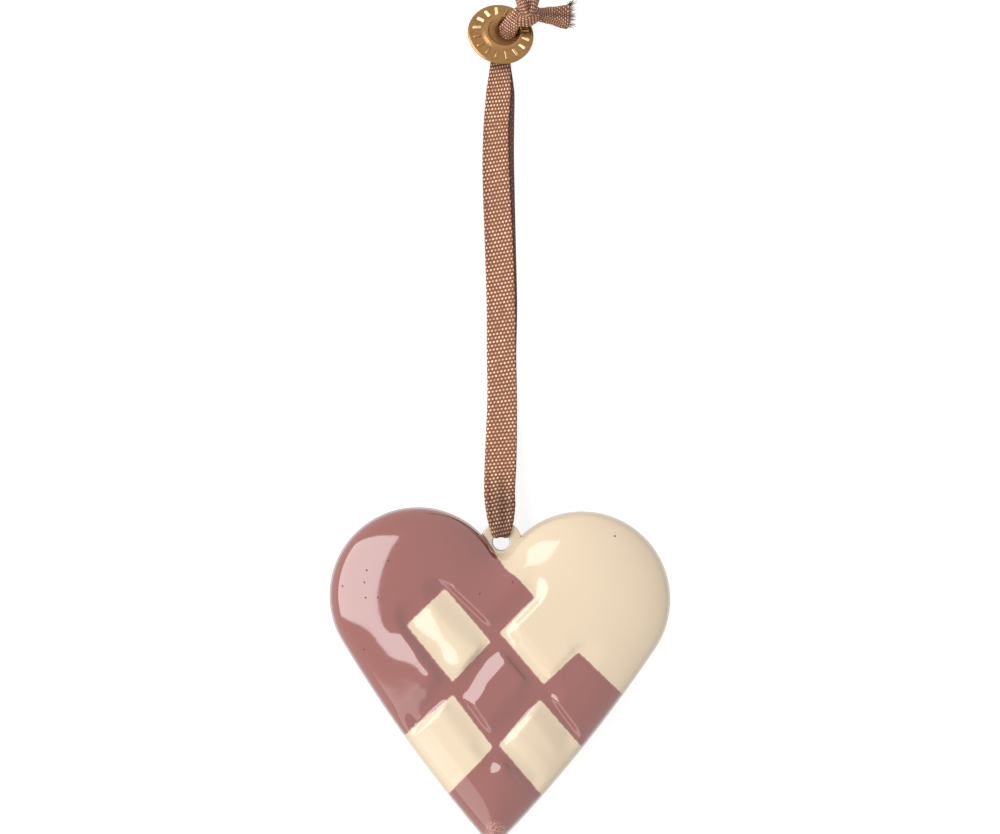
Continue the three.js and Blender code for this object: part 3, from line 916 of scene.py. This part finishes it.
@dataclass
class HeartBody:
    """The enamelled heart with its hanging tab."""

    finishes: Finishes
    form: HeartForm = field(default_factory=HeartForm)
    fineness: int = 40
    lobe_fineness: int = 56
    tab_radius: float = 4.25
    tab_rise: float = 2.4
    tab_thickness: float = 1.2
    tab_edge: float = 0.3
    hole_radius: float = 1.7
    ring_width: float = 0.28
    lip_edge: float = 0.12
    round_corner: float = 0.45
    crowding: float = 1.6
    patches: list = field(default_factory=lambda: [
        [(-11.3, 17.8), (-1.6, 7.1), (-9.2, -1.3), (-18.9, 10.0)],
        [(-9.1, -4.0), (-0.6, -14.6), (-10.4, -25.4), (-19.9, -13.6)],
        [(8.8, -4.5), (18.5, -15.1), (10.5, -25.1), (0.6, -14.0)],
        [(-4.4, 29.9), (-2.7, 27.9), (-0.8, 24.6), (1.1, 22.2), (3.0, 20.8), (5.1, 18.8), (7.2, 16.4),
         (0.2, 9.0), (9.5, -1.4), (16.4, 5.5), (25.6, -2.9), (60.0, -30.0), (60.0, 60.0), (-4.4, 60.0)],
    ])

    def stations(self, strip: int) -> Callable[[np.ndarray], np.ndarray]:
        """Mapping of even shares of a strip, closer together towards the outline on the outer one."""
        power = self.crowding if strip == self.form.strips - 1 else 1.0
        return lambda t: 1 - (1 - t) ** power

    def patch_depth(self, points: np.ndarray, patch: Sequence[tuple[float, float]]) -> np.ndarray:
        """Signed distance into a patch, positive inside."""
        corners = np.array(rounded(patch, self.round_corner, 4))
        nearest = np.full(len(points), np.inf)
        inside = np.zeros(len(points), dtype=bool)
        for start, end in zip(corners, np.roll(corners, -1, axis=0)):
            run = end - start
            offset = points - start
            t = np.clip(offset @ run / max(run @ run, 1e-12), 0, 1)
            nearest = np.minimum(nearest, np.linalg.norm(offset - t[:, None] * run, axis=1))
            crosses = (start[1] > points[:, 1]) != (end[1] > points[:, 1])
            slope = run[0] / (run[1] if run[1] else 1e-12)
            inside ^= crosses & (points[:, 0] < start[0] + slope * (points[:, 1] - start[1]))
        return np.where(inside, nearest, -nearest)

    def cream_depth(self, points: np.ndarray) -> np.ndarray:
        """Signed distance into the cream areas, in millimetres."""
        return np.max([self.patch_depth(points, patch) for patch in self.patches], axis=0)

    def sheet(self, name: str, columns: int, rows: int, mapping: Callable) -> list[bpy.types.Object]:
        """One area of both faces.

        Args:
            name: Base of the names.
            columns: Faces along the first way.
            rows: Faces along the second way.
            mapping: Gives x and y for the shares of both ways.

        Returns:
            The front and the back.
        """
        made = []
        heights = None
        for side in range(2):
            grid, shares = unit_grid(f"{name}_{side}", columns, rows)
            points = mapping(shares[:, 0], shares[:, 1])
            if heights is None:
                heights = self.form.rises(points)
            move_points(grid, np.column_stack([points, heights[side]]))
            made.append(grid)
        return made

    def shell(self) -> bpy.types.Object:
        """Both domes with the seam's lip, as one closed shell.

        Returns:
            The shell, whose second material slot is the lip's bare steel.
        """
        form = self.form
        pieces = []
        for i in range(form.strips):
            for j in range(form.strips):
                ease_a, ease_b = self.stations(i), self.stations(j)
                pieces += self.sheet(
                    f"cell_{i}{j}", self.fineness, self.fineness,
                    lambda a, b, i=i, j=j, fa=ease_a, fb=ease_b: form.cell(i, j, fa(a), fb(b)),
                )
        for hand in (-1, 1):
            for strip in range(form.strips):
                ease = self.stations(strip)
                pieces += self.sheet(
                    f"lobe_{hand}_{strip}", self.lobe_fineness, self.fineness,
                    lambda s, t, hand=hand, strip=strip, ease=ease: form.lobe(
                        hand, strip, 1 - (1 - s) ** self.crowding, ease(t)),
                )
        for piece in pieces:
            dress(piece, self.finishes.enamel, self.finishes.steel)
        whole = joined("heart_enamel", [*pieces, self.lip(-1), self.lip(1)])
        close_seams(whole)
        return whole

    def lip(self, hand: int) -> bpy.types.Object:
        """One half of the seam's lip, with bare steel along its middle.

        Args:
            hand: 1 for the right half, -1 for the left one.

        Returns:
            The lip.
        """
        form = self.form
        lengths = self.rim_stations(form.right if hand > 0 else form.left)
        grid, shares = unit_grid(f"lip_{hand}", len(lengths) - 1, 3)
        around = lengths[np.rint(shares[:, 0] * (len(lengths) - 1)).astype(int)]
        level = np.rint(shares[:, 1] * 3).astype(int)
        inner = form.outline(hand, around, form.lip)
        outer = form.outline(hand, around, 0.0)
        points = np.where(((level == 1) | (level == 2))[:, None], outer, inner)
        half = form.seam_thickness / 2
        lift = np.array([half, self.lip_edge, -self.lip_edge, -half])[level]
        move_points(grid, np.column_stack([points, form.seam + lift]))
        dress(grid, self.finishes.enamel, self.finishes.steel)
        for face in grid.data.polygons:
            if abs(face.center.z / MM - form.seam) < 0.5 * self.lip_edge:
                face.material_index = 1
        return grid

    def rim_stations(self, lengths: list[float]) -> np.ndarray:
        """Lengths along one side at which the faces have their rim points."""
        even = np.linspace(0, 1, self.fineness + 1)
        found = []
        for strip in range(self.form.strips):
            found.append(lengths[0] * (strip + self.stations(strip)(even)) / self.form.strips)
        for strip in range(self.form.strips):
            t = self.stations(strip)(even)
            found.append(lengths[strip] + (lengths[strip + 1] - lengths[strip]) * t)
        return np.unique(np.round(np.concatenate(found), 9))

    @property
    def tab_centre(self) -> np.ndarray:
        """Middle of the tab's hole."""
        top = self.form.outline(1, np.array(0.0), 0.0)
        return np.array([0.0, top[1] + self.tab_rise, self.form.seam])

    def tab(self) -> bpy.types.Object:
        """Flat tab with its rounded edge, hole and thin bare ring.

        Returns:
            The tab.
        """
        half = self.tab_thickness / 2
        corners = [
            (self.hole_radius, -half), (self.tab_radius, -half),
            (self.tab_radius, half), (self.hole_radius, half),
        ]
        tab = spun("tab", rounded(corners, self.tab_edge), 96)
        move_points(tab, points_of(tab) + self.tab_centre)
        dress(tab, self.finishes.enamel, self.finishes.steel)
        for face in tab.data.polygons:
            offset = Vector(self.tab_centre[:2]) * MM - face.center.to_2d()
            if offset.length < (self.hole_radius + self.ring_width) * MM:
                face.material_index = 1
        return tab

    def build(self) -> bpy.types.Object:
        """Builds and dresses the heart.

        Returns:
            The heart.
        """
        heart = joined("heart_enamel", [self.shell(), self.tab()])
        places = points_of(heart)[:, :2]
        add_values(heart, "cream", self.cream_depth(places))
        on_tab = np.linalg.norm(places - self.tab_centre[:2], axis=1) < self.tab_radius + 0.01
        add_values(heart, "rim", np.where(on_tab, 2.0, self.form.rim_distance(places)))
        smooth(heart, 50)
        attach(heart, "root")
        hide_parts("heart")
        return heart


# Ribbon


@dataclass
class RibbonLoop:
    """The ribbon's two legs from the tab to the disc, and its knot with frayed tails."""

    finishes: Finishes
    tab_centre: np.ndarray
    weave: Weave = field(default_factory=Weave)
    tab_radius: float = 4.25
    width: float = 6.4
    thickness: float = 0.45
    lift: float = 1.25
    seam: float = 7.0
    step: float = 0.155
    columns: int = 42
    float_relief: float = 0.07
    slant: float = 0.14
    crease: float = 0.62
    bow_radius: float = 1.5
    edge_power: int = 10
    pleat_depth: float = 0.14
    crease_depth: float = 0.2
    crease_width: float = 0.06
    bundle_width: float = 2.8
    bundle_thickness: float = 1.6
    table_gap: float = 0.1
    tube_step: float = 0.16
    tube_sides: int = 64
    tube_twist: float = 0.35
    tube_rows: float = 1.5
    tube_columns: float = 2.2
    frays: int = 90
    side_frays: int = 20
    fray_place: tuple = (10.6, 136.0, 1.1)
    fray_spread: float = 2.1
    side_fray_rise: float = 0.9
    bight: list = field(default_factory=lambda: [
        (0.27, -0.06, 1.8, 0.5, 1.0), (0.285, 0.55, 2.1, 0.5, 1.0), (0.305, 0.85, 3.4, 0.5, 0.2),
        (0.36, 1.04, 3.9, 0.45, 0.0), (0.5, 1.1, 4.2, 0.45, 0.0), (0.75, 1.1, 4.75, 0.45, 0.0),
        (1.0, 1.05, 5.35, 0.45, 0.0),
    ])
    front: list = field(default_factory=lambda: [
        (-0.38, 35.0, 7.9, 0.98), (-0.6, 37.5, 7.3, 1), (-0.65, 42, 5.6, 1), (-0.57, 48.5, 3.2, 1),
        (-0.6, 57.5, 1.25, 0.95), (-1, 66, 0.74, 0.93), (-1.32, 76, 0.7, 0.92), (-2.12, 89.6, 0.7, 0.91),
        (-2.9, 101, 0.7, 0.88), (-3.2, 107, 0.7, 0.85), (-3.27, 113, 0.7, 0.81), (-2.94, 120, 0.72, 0.8),
        (-2.75, 125.2, 0.9, 0.66), (-2.75, 126.8, 1.0, 0.62),
    ])
    back: list = field(default_factory=lambda: [
        (-0.3, 35, 4.9, 0.95), (-0.6, 38, 3.9, 1), (-0.5, 43, 2.2, 1), (-0.5, 49, 0.95, 1),
        (-0.55, 57.5, 0.34, 0.95), (-0.85, 66, 0.27, 0.93), (-0.9, 76, 0.27, 0.92), (-1.5, 89.6, 0.27, 0.91),
        (-1.95, 101, 0.27, 0.88), (-2.15, 107, 0.27, 0.86), (-2.2, 113, 0.27, 0.84), (-2.2, 120, 0.3, 0.8),
        (-2.6, 125.2, 0.5, 0.66), (-2.6, 126.8, 0.6, 0.62),
    ])
    bundle: list = field(default_factory=lambda: [
        (-2.6, 125.9, 0.75, 0.7), (-2.45, 127.4, 0.95, 0.95), (-2.1, 129.2, 1.25, 1.15),
        (-1.8, 130.8, 1.8, 1.25), (-1.3, 132.2, 2.85, 1.4), (-0.75, 133.5, 3.9, 1.2),
        (0.1, 134.9, 4.55, 1.12), (1.3, 136.4, 4.8, 1.1), (2.6, 137.2, 4.6, 1),
        (4, 136.7, 4.1, 0.95), (5.4, 136.2, 3.5, 0.8),
    ])
    tails: list = field(default_factory=lambda: [
        (4.6, 136.45, 3.9, 0.8), (5.6, 136.2, 3.4, 0.85), (7.5, 136.15, 2.6, 1.2),
        (9.5, 136.05, 1.6, 1.5), (11.5, 136, 1.05, 1.7),
    ])
    turns: dict = field(default_factory=lambda: {
        "turn_a": ((1.8, 137.9, 4.55), 2.3, 0.72, 0.35, 1.15),
        "turn_b": ((3.45, 137.4, 4.3), 2.0, 0.75, -0.3, 1.1),
    })
    lobe: list = field(default_factory=lambda: [
        (0.5, 135.6, 4.6, 1.8, 1.8), (1.2, 135.2, 4.95, 2.7, 2.4), (2.4, 135.15, 5.1, 3.0, 2.7),
        (3.7, 135.5, 4.9, 2.7, 2.4), (4.9, 136.1, 4.2, 1.9, 1.9),
    ])

    def leg_route(self, hand: int) -> list[tuple[float, ...]]:
        """Route of one layer: hand 1 passes over the tab and hand -1 under it.

        Args:
            hand: The side of the tab.

        Returns:
            Rows of x, y, z, width, thickness and bow.
        """
        x, y, _ = self.tab_centre
        rows = []
        for out, up, *section in self.bight:
            height = self.seam + hand * up * self.lift
            rows.append((x - 0.2 * out, y + out * self.tab_radius, height, *section))
        flat = self.front if hand > 0 else self.back
        rows += [(px, py, pz, share * self.width, self.thickness, 0.0) for px, py, pz, share in flat]
        return rows

    def strip(self, name: str, hand: int) -> tuple[bpy.types.Object, np.ndarray]:
        """One leg as a closed woven strip.

        Args:
            name: The piece's name.
            hand: 1 for the front leg, -1 for the back one.

        Returns:
            The piece and the points of its middle line, in millimetres.
        """
        line, run = route_through(self.leg_route(hand), self.step)
        rows = len(line) - 1
        grid, shares = unit_grid(name, 2 * self.columns, rows)
        row = np.rint(shares[:, 1] * rows).astype(int)
        turn = np.rint(shares[:, 0] * 2 * self.columns).astype(int)
        face = np.where(turn <= self.columns, 1.0, -1.0)
        steps = np.where(turn <= self.columns, turn, 2 * self.columns - turn)
        across = steps / self.columns * 2 - 1
        tangent = np.gradient(line[:, :3], axis=0)
        tangent /= np.linalg.norm(tangent, axis=1)[:, None]
        side = np.column_stack([np.maximum(tangent[:, 1], 0.02), -tangent[:, 0], np.zeros(len(line))])
        side /= np.linalg.norm(side, axis=1)[:, None]
        normal = np.cross(side, tangent)
        normal *= np.sign(normal[:, 2:3] + 1e-9)
        width, thickness = line[row, 3], line[row, 4]
        u = across * self.width / 2
        v = run[row] - self.slant * u
        edge = np.sqrt(np.clip(1 - np.abs(across) ** self.edge_power, 0, 1))
        relief = self.float_relief * self.weave.float_height(u, v + (face < 0) * self.weave.along / 2)
        lift = face * edge * (thickness / 2 - self.float_relief / 2 + relief)
        nearby = smoothstep(run[row], 2.0, 4.5) * (1 - smoothstep(run[row], 10.0, 18.0)) * (hand > 0)
        pleat = self.pleat_depth * nearby * np.cos(2.2 * np.pi * across + 0.6)
        crease = self.crease_depth * nearby * np.exp(-(((across + self.crease) / self.crease_width) ** 2))
        offset = lift + pleat - crease
        points = line[row, :3] + side[row] * (across * width / 2)[:, None] + normal[row] * offset[:, None]
        points[:, 1] -= line[row, 5] * (across * width / 2) ** 2 / (2 * self.bow_radius)
        move_points(grid, points)
        lay_weave(grid, np.column_stack([u, v]))
        # Painted shade on the front leg: at its foot by the tab, along its left edge and under the disc's
        # edge. The back leg is painted all in shade.
        foot = (1 - smoothstep(run[row], 7.0, 17.0)) * (0.3 + 0.4 * smoothstep(across, -0.75, -0.5))
        left = 0.3 * (1 - smoothstep(across, -0.85, -0.45)) * smoothstep(run[row], 45.0, 60.0)
        head = 0.75 * smoothstep(run[row], run[-1] - 2.4, run[-1] - 1.3)
        shade = np.maximum(np.maximum(foot, left), head)
        add_values(grid, "painted_shade", shade if hand > 0 else np.full(len(across), 1.1))
        return grid, line[:, :3]

    def tube(
        self, name: str, route: Sequence[Sequence[float]], folds: int, depth: float, ring: bool = False
    ) -> bpy.types.Object:
        """Gathered ribbon as a pleated closed tube.

        Args:
            name: The object's name.
            route: Rows of x, y, z, width and thickness.
            folds: Pleats around it.
            depth: Depth of the pleats as a share of the radius.
            ring: Whether the route closes on itself.

        Returns:
            The tube.
        """
        line, run = route_through(route, self.tube_step)
        rows = len(line) - 1
        grid, shares = unit_grid(name, self.tube_sides, rows)
        row = np.rint(shares[:, 1] * rows).astype(int)
        angle = shares[:, 0] * 2 * np.pi
        tangent = np.gradient(line[:, :3], axis=0)
        if ring:
            tangent[0] = tangent[-1] = line[1, :3] - line[-2, :3]
        tangent /= np.linalg.norm(tangent, axis=1)[:, None]
        side = np.cross(tangent, np.array([0.0, 0.0, 1.0]))
        side /= np.maximum(np.linalg.norm(side, axis=1), 1e-6)[:, None]
        normal = np.cross(side, tangent)
        sizes = line[row, 3:5] / 2
        twist = run[row] * self.tube_twist
        gather = 1 + depth * np.cos(folds * angle + twist)
        gather += 0.4 * depth * np.cos((folds + 2) * angle - 1.3 * twist)
        girth = np.pi * (sizes[:, 0] + sizes[:, 1])
        columns = np.round(girth.mean() * self.tube_columns / self.weave.across)
        u = angle / (2 * np.pi) * columns * self.weave.across
        v = run[row] * self.tube_rows
        gather += self.float_relief / sizes.mean() * (self.weave.float_height(u, v) - 0.5)
        if not ring:
            ends = np.minimum(run[row], run[-1] - run[row])
            gather *= np.sqrt(np.clip(0.25 + 0.75 * ends / 0.5, 0, 1))
        offsets = side[row] * (np.cos(angle) * gather * sizes[:, 0])[:, None]
        offsets += normal[row] * (np.sin(angle) * gather * sizes[:, 1])[:, None]
        move_points(grid, line[row, :3] + offsets)
        lay_weave(grid, np.column_stack([u, v]))
        return grid

    def gathered(self, route: Sequence[Sequence[float]]) -> list[tuple[float, ...]]:
        """Route of a gathered stretch, as rows of x, y, z, width and thickness, clear of the table."""
        return [
            (x, y, z, share * self.bundle_width, min(self.bundle_thickness, 2 * (z - self.table_gap)))
            for x, y, z, share in route
        ]

    def turn_route(
        self, centre: Sequence[float], reach: float, lift: float, lean: float, strand: float
    ) -> list[tuple[float, ...]]:
        """Closed route of one turn of the knot.

        Args:
            centre: Its middle.
            reach: Its radius along the ribbon.
            lift: Its height as a share of that.
            lean: Its turn on the table, in radians.
            strand: Radius of the gathered ribbon.

        Returns:
            Rows of x, y, z, width and thickness.
        """
        rows = []
        for k in range(25):
            angle = 2 * math.pi * k / 24
            y, z = reach * math.cos(angle), reach * lift * math.sin(angle)
            rows.append((
                centre[0] - y * math.sin(lean), centre[1] + y * math.cos(lean), centre[2] + z,
                2 * strand, 2 * strand,
            ))
        return rows

    def thread(self, start: np.ndarray, end: np.ndarray, bend: np.ndarray, radius: float) -> bpy.types.Object:
        """One frayed thread, thinner at its tip."""
        grid, shares = unit_grid("thread", 5, 8)
        t = shares[:, 1]
        angle = shares[:, 0] * 2 * np.pi
        middle = (start + end) / 2 + bend
        line = np.outer((1 - t) ** 2, start) + np.outer(2 * t * (1 - t), middle) + np.outer(t**2, end)
        along = (end - start) / np.linalg.norm(end - start)
        side = np.cross(along, [0.0, 0.0, 1.0])
        side /= np.linalg.norm(side)
        up = np.cross(side, along)
        reach = radius * (1 - 0.6 * t)
        points = line + side * (np.cos(angle) * reach)[:, None] + up * (np.sin(angle) * reach)[:, None]
        move_points(grid, points)
        lay_weave(grid, np.column_stack([np.full(len(t), 0.2), 4 * t]))
        return grid

    def knot(self) -> bpy.types.Object:
        """Gathered stretch through the disc, the knot and its frayed tails.

        Returns:
            The knot as one piece.
        """
        pieces = [
            self.tube("bundle", self.gathered(self.bundle), 3, 0.16),
            self.tube("tails", self.gathered(self.tails), 4, 0.2),
        ]
        for name, turn in self.turns.items():
            pieces.append(self.tube(name, self.turn_route(*turn), 3, 0.13, True))
        pieces.append(self.tube("lobe", self.lobe, 3, 0.1))
        for piece in pieces:
            # Painted shade over the knot, deeper in the fold by the tails and low down by the disc.
            places = points_of(piece)
            fold = np.exp(-(((places[:, 1] - 136.3) / 0.5) ** 2)) * smoothstep(places[:, 0], 4.5, 6.0)
            under = 1 - smoothstep(places[:, 2], 0.6, 2.4)
            add_values(piece, "painted_shade", 0.22 + 0.4 * fold + 0.3 * under * (places[:, 1] < 134))
        return joined("ribbon_knot", [*pieces, *self.frayed()])

    def frayed(self) -> list[bpy.types.Object]:
        """Frayed threads at the tails' ends.

        Returns:
            The threads, those spread over the ends first and those at their far side last.
        """
        dice = np.random.default_rng(7)
        strands = []
        for count in range(self.frays + self.side_frays):
            aside = count >= self.frays
            share = 1.0 if aside else dice.uniform(-1, 1)
            x, y, z = self.fray_place
            x += dice.uniform(-0.3, 0.5)
            z += dice.uniform(-0.3, 0.4)
            start = np.array([x, y + self.fray_spread * share, z])
            reach = dice.uniform(0.8, 1.9)
            rise = 0.35 * share + dice.uniform(-0.5, 0.5) + (self.side_fray_rise if aside else 0.0)
            end = start + np.array([reach, rise, dice.uniform(-0.5, 0.5)])
            end[2] = max(end[2], 0.12)
            bend = dice.uniform(-0.25, 0.25, 3) * np.array([0.2, 1, 0.6])
            strand = self.thread(start, end, bend, dice.uniform(0.045, 0.075))
            # Each thread is darkened by a random amount.
            add_values(strand, "painted_shade", np.full(len(strand.data.vertices), dice.uniform(0.2, 1.0)))
            strands.append(strand)
        return strands

    def dress_cloth(self, piece: bpy.types.Object) -> None:
        """Closes, smooths and dresses a piece of the ribbon."""
        close_seams(piece)
        smooth(piece)
        dress(piece, self.finishes.weave)
        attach(piece, "root")
        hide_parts("ribbon")

    def build(self) -> list[bpy.types.Object]:
        """Returns:
            Both legs and the knot.
        """
        knot = self.knot()
        self.dress_cloth(knot)
        made = []
        for name, hand in (("ribbon_front_leg", 1), ("ribbon_back_leg", -1)):
            leg, middle = self.strip(name, hand)
            self.dress_cloth(leg)
            self.width * MM
            made.append(leg)
        return [*made, knot]


# Brass disc


@dataclass
class BrassDisc:
    """Small dished brass disc with a raised ring of shallow strokes round its off-centre hole."""

    finishes: Finishes
    radius: float = 6.85
    rim_thickness: float = 0.6
    hole_radius: float = 1.85
    hole_offset: tuple[float, float] = (1.5, 0.75)
    tilt: float = math.radians(27)
    towards: float = math.radians(73)
    centre: tuple[float, float] = (-2.8, 132.0)
    table_gap: float = 0.05
    rim_width: float = 0.95
    ring_width: float = 1.6
    ring_rise: float = 0.66
    crown: float = 1.05
    hole_rise: float = 0.2
    wall: float = 0.45
    # Painted highlight of each stroke in turn round the hole, brightest at the upper left and lower right.
    strokes: tuple = (1.1, 0.9, 1.0, 1.0, 1.9, 2.0, 2.0, 1.5, 1.0, 0.9, 1.0, 1.0, 1.1, 1.35, 2.0, 1.7)
    stroke_length: float = 2.05
    stroke_width: float = 0.72
    stroke_height: float = 0.24
    stroke_lean: float = 8.0
    stroke_bevel: float = 0.22
    lip_rise: float = 0.04
    plain_wear: float = 0.68
    crown_wear_and_highlight: float = 0.3
    crown_reach: float = 3.6
    crown_width: float = 0.3

    def profile(self) -> list[tuple[float, float]]:
        """Closed profile as radius and height."""
        half = self.rim_thickness / 2
        outer = self.radius - self.rim_width
        inner = outer - self.ring_width
        hole = self.hole_radius
        return [
            (self.radius - 0.1, -half),
            (self.radius, 0.15 - half),
            (self.radius, 0.05),
            (self.radius - 0.38, half),
            (outer + 0.05, half + self.lip_rise),
            (inner, self.ring_rise),
            (inner - 0.6, self.crown - 0.05),
            (inner - 0.9, self.crown),
            (inner - 1.15, self.crown - 0.15),
            (hole + 0.85, 0.72),
            (hole + 0.35, 0.5),
            (hole, self.hole_rise),
            (hole, self.hole_rise - self.wall),
            (hole + self.wall, self.hole_rise - self.wall),
            (inner - 0.8, self.crown - 0.65),
            (inner, self.ring_rise - 0.5),
            (outer, -half),
        ]

    def off_centre(self, radius: np.ndarray) -> np.ndarray:
        """Share of the hole's offset by which a circle of that radius is moved."""
        span = self.radius - self.hole_radius
        return np.clip((self.radius - radius) / span, 0, 1) ** 3

    def stroke(self, angle: float, length: float, lean: float) -> bpy.types.Object:
        """One shallow raised stroke.

        Args:
            angle: Its place round the hole, in radians.
            length: Its length.
            lean: How far it is turned from pointing at the hole, in degrees.

        Returns:
            The stroke.
        """
        clear_selection()
        bpy.ops.mesh.primitive_cube_add(size=1.0)
        stroke = bpy.context.active_object
        stroke.scale = (length * MM, self.stroke_width * MM, 3 * self.stroke_height * MM)
        bpy.ops.object.transform_apply(location=False, rotation=False, scale=True)
        bevel = stroke.modifiers.new("soft_edges", "BEVEL")
        bevel.width = self.stroke_bevel * MM
        bevel.segments = 3
        bpy.ops.object.modifier_apply(modifier=bevel.name)
        ring = self.radius - self.rim_width - self.ring_width / 2
        low = self.rim_thickness / 2 + self.lip_rise
        slope = math.atan2(self.ring_rise - low, self.ring_width)
        spot = Vector((ring, 0, (low + self.ring_rise) / 2 - 0.5 * self.stroke_height)) * MM
        turned = Matrix.Rotation(math.radians(lean), 4, "Z")
        stroke.data.transform(Matrix.Translation(spot) @ Matrix.Rotation(slope, 4, "Y") @ turned)
        stroke.data.transform(Matrix.Rotation(angle, 4, "Z"))
        share = float(self.off_centre(np.array(ring)))
        stroke.data.transform(Matrix.Translation(Vector((*self.hole_offset, 0)) * share * MM))
        return stroke

    def build(self) -> bpy.types.Object:
        """Builds and dresses the disc.

        Returns:
            The disc.
        """
        plate = spun("plate", rounded(self.profile(), 0.35, 6), 128)
        points = points_of(plate)
        reach = np.linalg.norm(points[:, :2], axis=1)
        # Darker lower down, for lacquer left in the hollows; lighter on the crown's band, partly polish and
        # partly painted highlight.
        crown = np.exp(-(((reach - self.crown_reach) / self.crown_width) ** 2))
        wear_and_highlight = self.plain_wear + 0.12 * (points[:, 2] - 0.5) + self.crown_wear_and_highlight * crown
        points[:, :2] += self.off_centre(reach)[:, None] * np.array(self.hole_offset)
        move_points(plate, points)
        add_values(plate, "wear_and_highlight", np.clip(wear_and_highlight, 0.1, 1.3))
        dice = np.random.default_rng(3)
        pieces = [plate]
        for k, bright in enumerate(self.strokes):
            angle = (k + 0.5) / len(self.strokes) * 2 * math.pi
            length = self.stroke_length * float(dice.uniform(0.75, 1.0))
            stroke = self.stroke(angle, length, self.stroke_lean * float(dice.uniform(-1, 1)))
            add_values(stroke, "wear_and_highlight", np.full(len(stroke.data.vertices), bright))
            pieces.append(stroke)
        disc = joined("brass_disc_worn", pieces)
        height = self.radius * math.sin(self.tilt) + self.rim_thickness / 2 * math.cos(self.tilt)
        height += self.table_gap
        axis = Vector((-math.sin(self.towards), math.cos(self.towards), 0))
        place = Matrix.Translation(Vector((*self.centre, height)) * MM)
        disc.data.transform(place @ Matrix.Rotation(self.tilt, 4, axis))
        smooth(disc, 40)
        dress(disc, self.finishes.brass)
        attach(disc, "root")
        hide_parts("brass_disc")
        return disc


# Studio


@dataclass
class Studio:
    """Camera above the ornament, pale floor, a large softbox, a weaker reflector and even fill."""

    finishes: Finishes
    turn: float = math.radians(1.47)
    aim: tuple[float, float] = (-0.91, 53.21)
    frame_width: float = 205.55
    distance: float = 2000.0
    middle_height: float = 7.0
    sensor: float = 36.0
    floor_size: float = 6.0
    boxes: tuple = (
        ("key", (165, 41, 9), 1.6, (0.57, 0.55), 4.0),
        ("reflector", (243, 26, -18), 1.6, (0.45, 0.34), 1.1),
    )
    fill: tuple = (1.0, 0.99, 0.98, 1.0)
    fill_strength: float = 1.3

    def camera(self) -> None:
        """Adds the camera and makes it the scene's."""
        data = bpy.data.cameras.new("camera")
        data.sensor_fit = "HORIZONTAL"
        data.sensor_width = self.sensor
        data.lens = self.sensor * self.distance / self.frame_width
        data.clip_start = 0.1
        data.clip_end = 20.0
        camera = bpy.data.objects.new("camera", data)
        bpy.context.scene.collection.objects.link(camera)
        camera.location = Vector((*self.aim, self.distance + self.middle_height)) * MM
        camera.rotation_euler = (0, 0, self.turn)
        bpy.context.scene.camera = camera

    def softbox(
        self,
        name: str,
        direction: tuple[float, float, float],
        distance: float,
        reach: tuple[float, float],
        radiance: float,
    ) -> None:
        """Adds a rectangular light that faces the heart.

        Args:
            name: The light's name.
            direction: Azimuth from +X, elevation and roll, in degrees.
            distance: Metres from the heart.
            reach: Half its width and half its height as shares of the distance.
            radiance: Brightness of its face, where 1 is white.
        """
        data = bpy.data.lights.new(name, "AREA")
        data.shape = "RECTANGLE"
        data.size, data.size_y = (2 * distance * share for share in reach)
        data.energy = radiance * data.size * data.size_y * math.pi
        light = bpy.data.objects.new(name, data)
        bpy.context.scene.collection.objects.link(light)
        a, e, roll = (math.radians(angle) for angle in direction)
        way = Vector((math.cos(a) * math.cos(e), math.sin(a) * math.cos(e), math.sin(e)))
        light.location = way * distance
        facing = way.to_track_quat("Z", "Y").to_matrix() @ Matrix.Rotation(roll, 3, "Z")
        light.rotation_euler = facing.to_euler()

    def build(self) -> None:
        """Adds the floor, the lights and the world."""
        clear_selection()
        bpy.ops.mesh.primitive_plane_add(size=self.floor_size, location=(0, 0, 0))
        floor = bpy.context.active_object
        floor.name = "studio_floor"
        bpy.ops.object.mode_set(mode="EDIT")
        bpy.ops.mesh.subdivide(number_cuts=3)
        bpy.ops.object.mode_set(mode="OBJECT")
        dress(floor, self.finishes.floor)
        for box in self.boxes:
            self.softbox(*box)
        world = bpy.data.worlds.new("studio")
        bpy.context.scene.world = world
        world.use_nodes = True
        background = world.node_tree.nodes["Background"]
        background.inputs["Color"].default_value = self.fill
        background.inputs["Strength"].default_value = self.fill_strength
        bpy.context.scene.view_settings.view_transform = "Standard"
        bpy.context.scene.view_settings.look = "None"


def main() -> None:
    """Builds the scene over the frame."""
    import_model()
    finishes = Finishes()
    studio = Studio(finishes)
    studio.camera()
    heart = HeartBody(finishes)
    ribbon = RibbonLoop(finishes, heart.tab_centre)
    pieces = [*ribbon.build(), heart.build(), BrassDisc(finishes).build()]
    studio.build()
    for piece in pieces:
        faces = sum(len(face.vertices) - 2 for face in piece.data.polygons)
        LOG.info("%s has %d triangles", piece.name, faces)


if __name__ == "__main__":
    logging.basicConfig(level=logging.INFO)
    main()
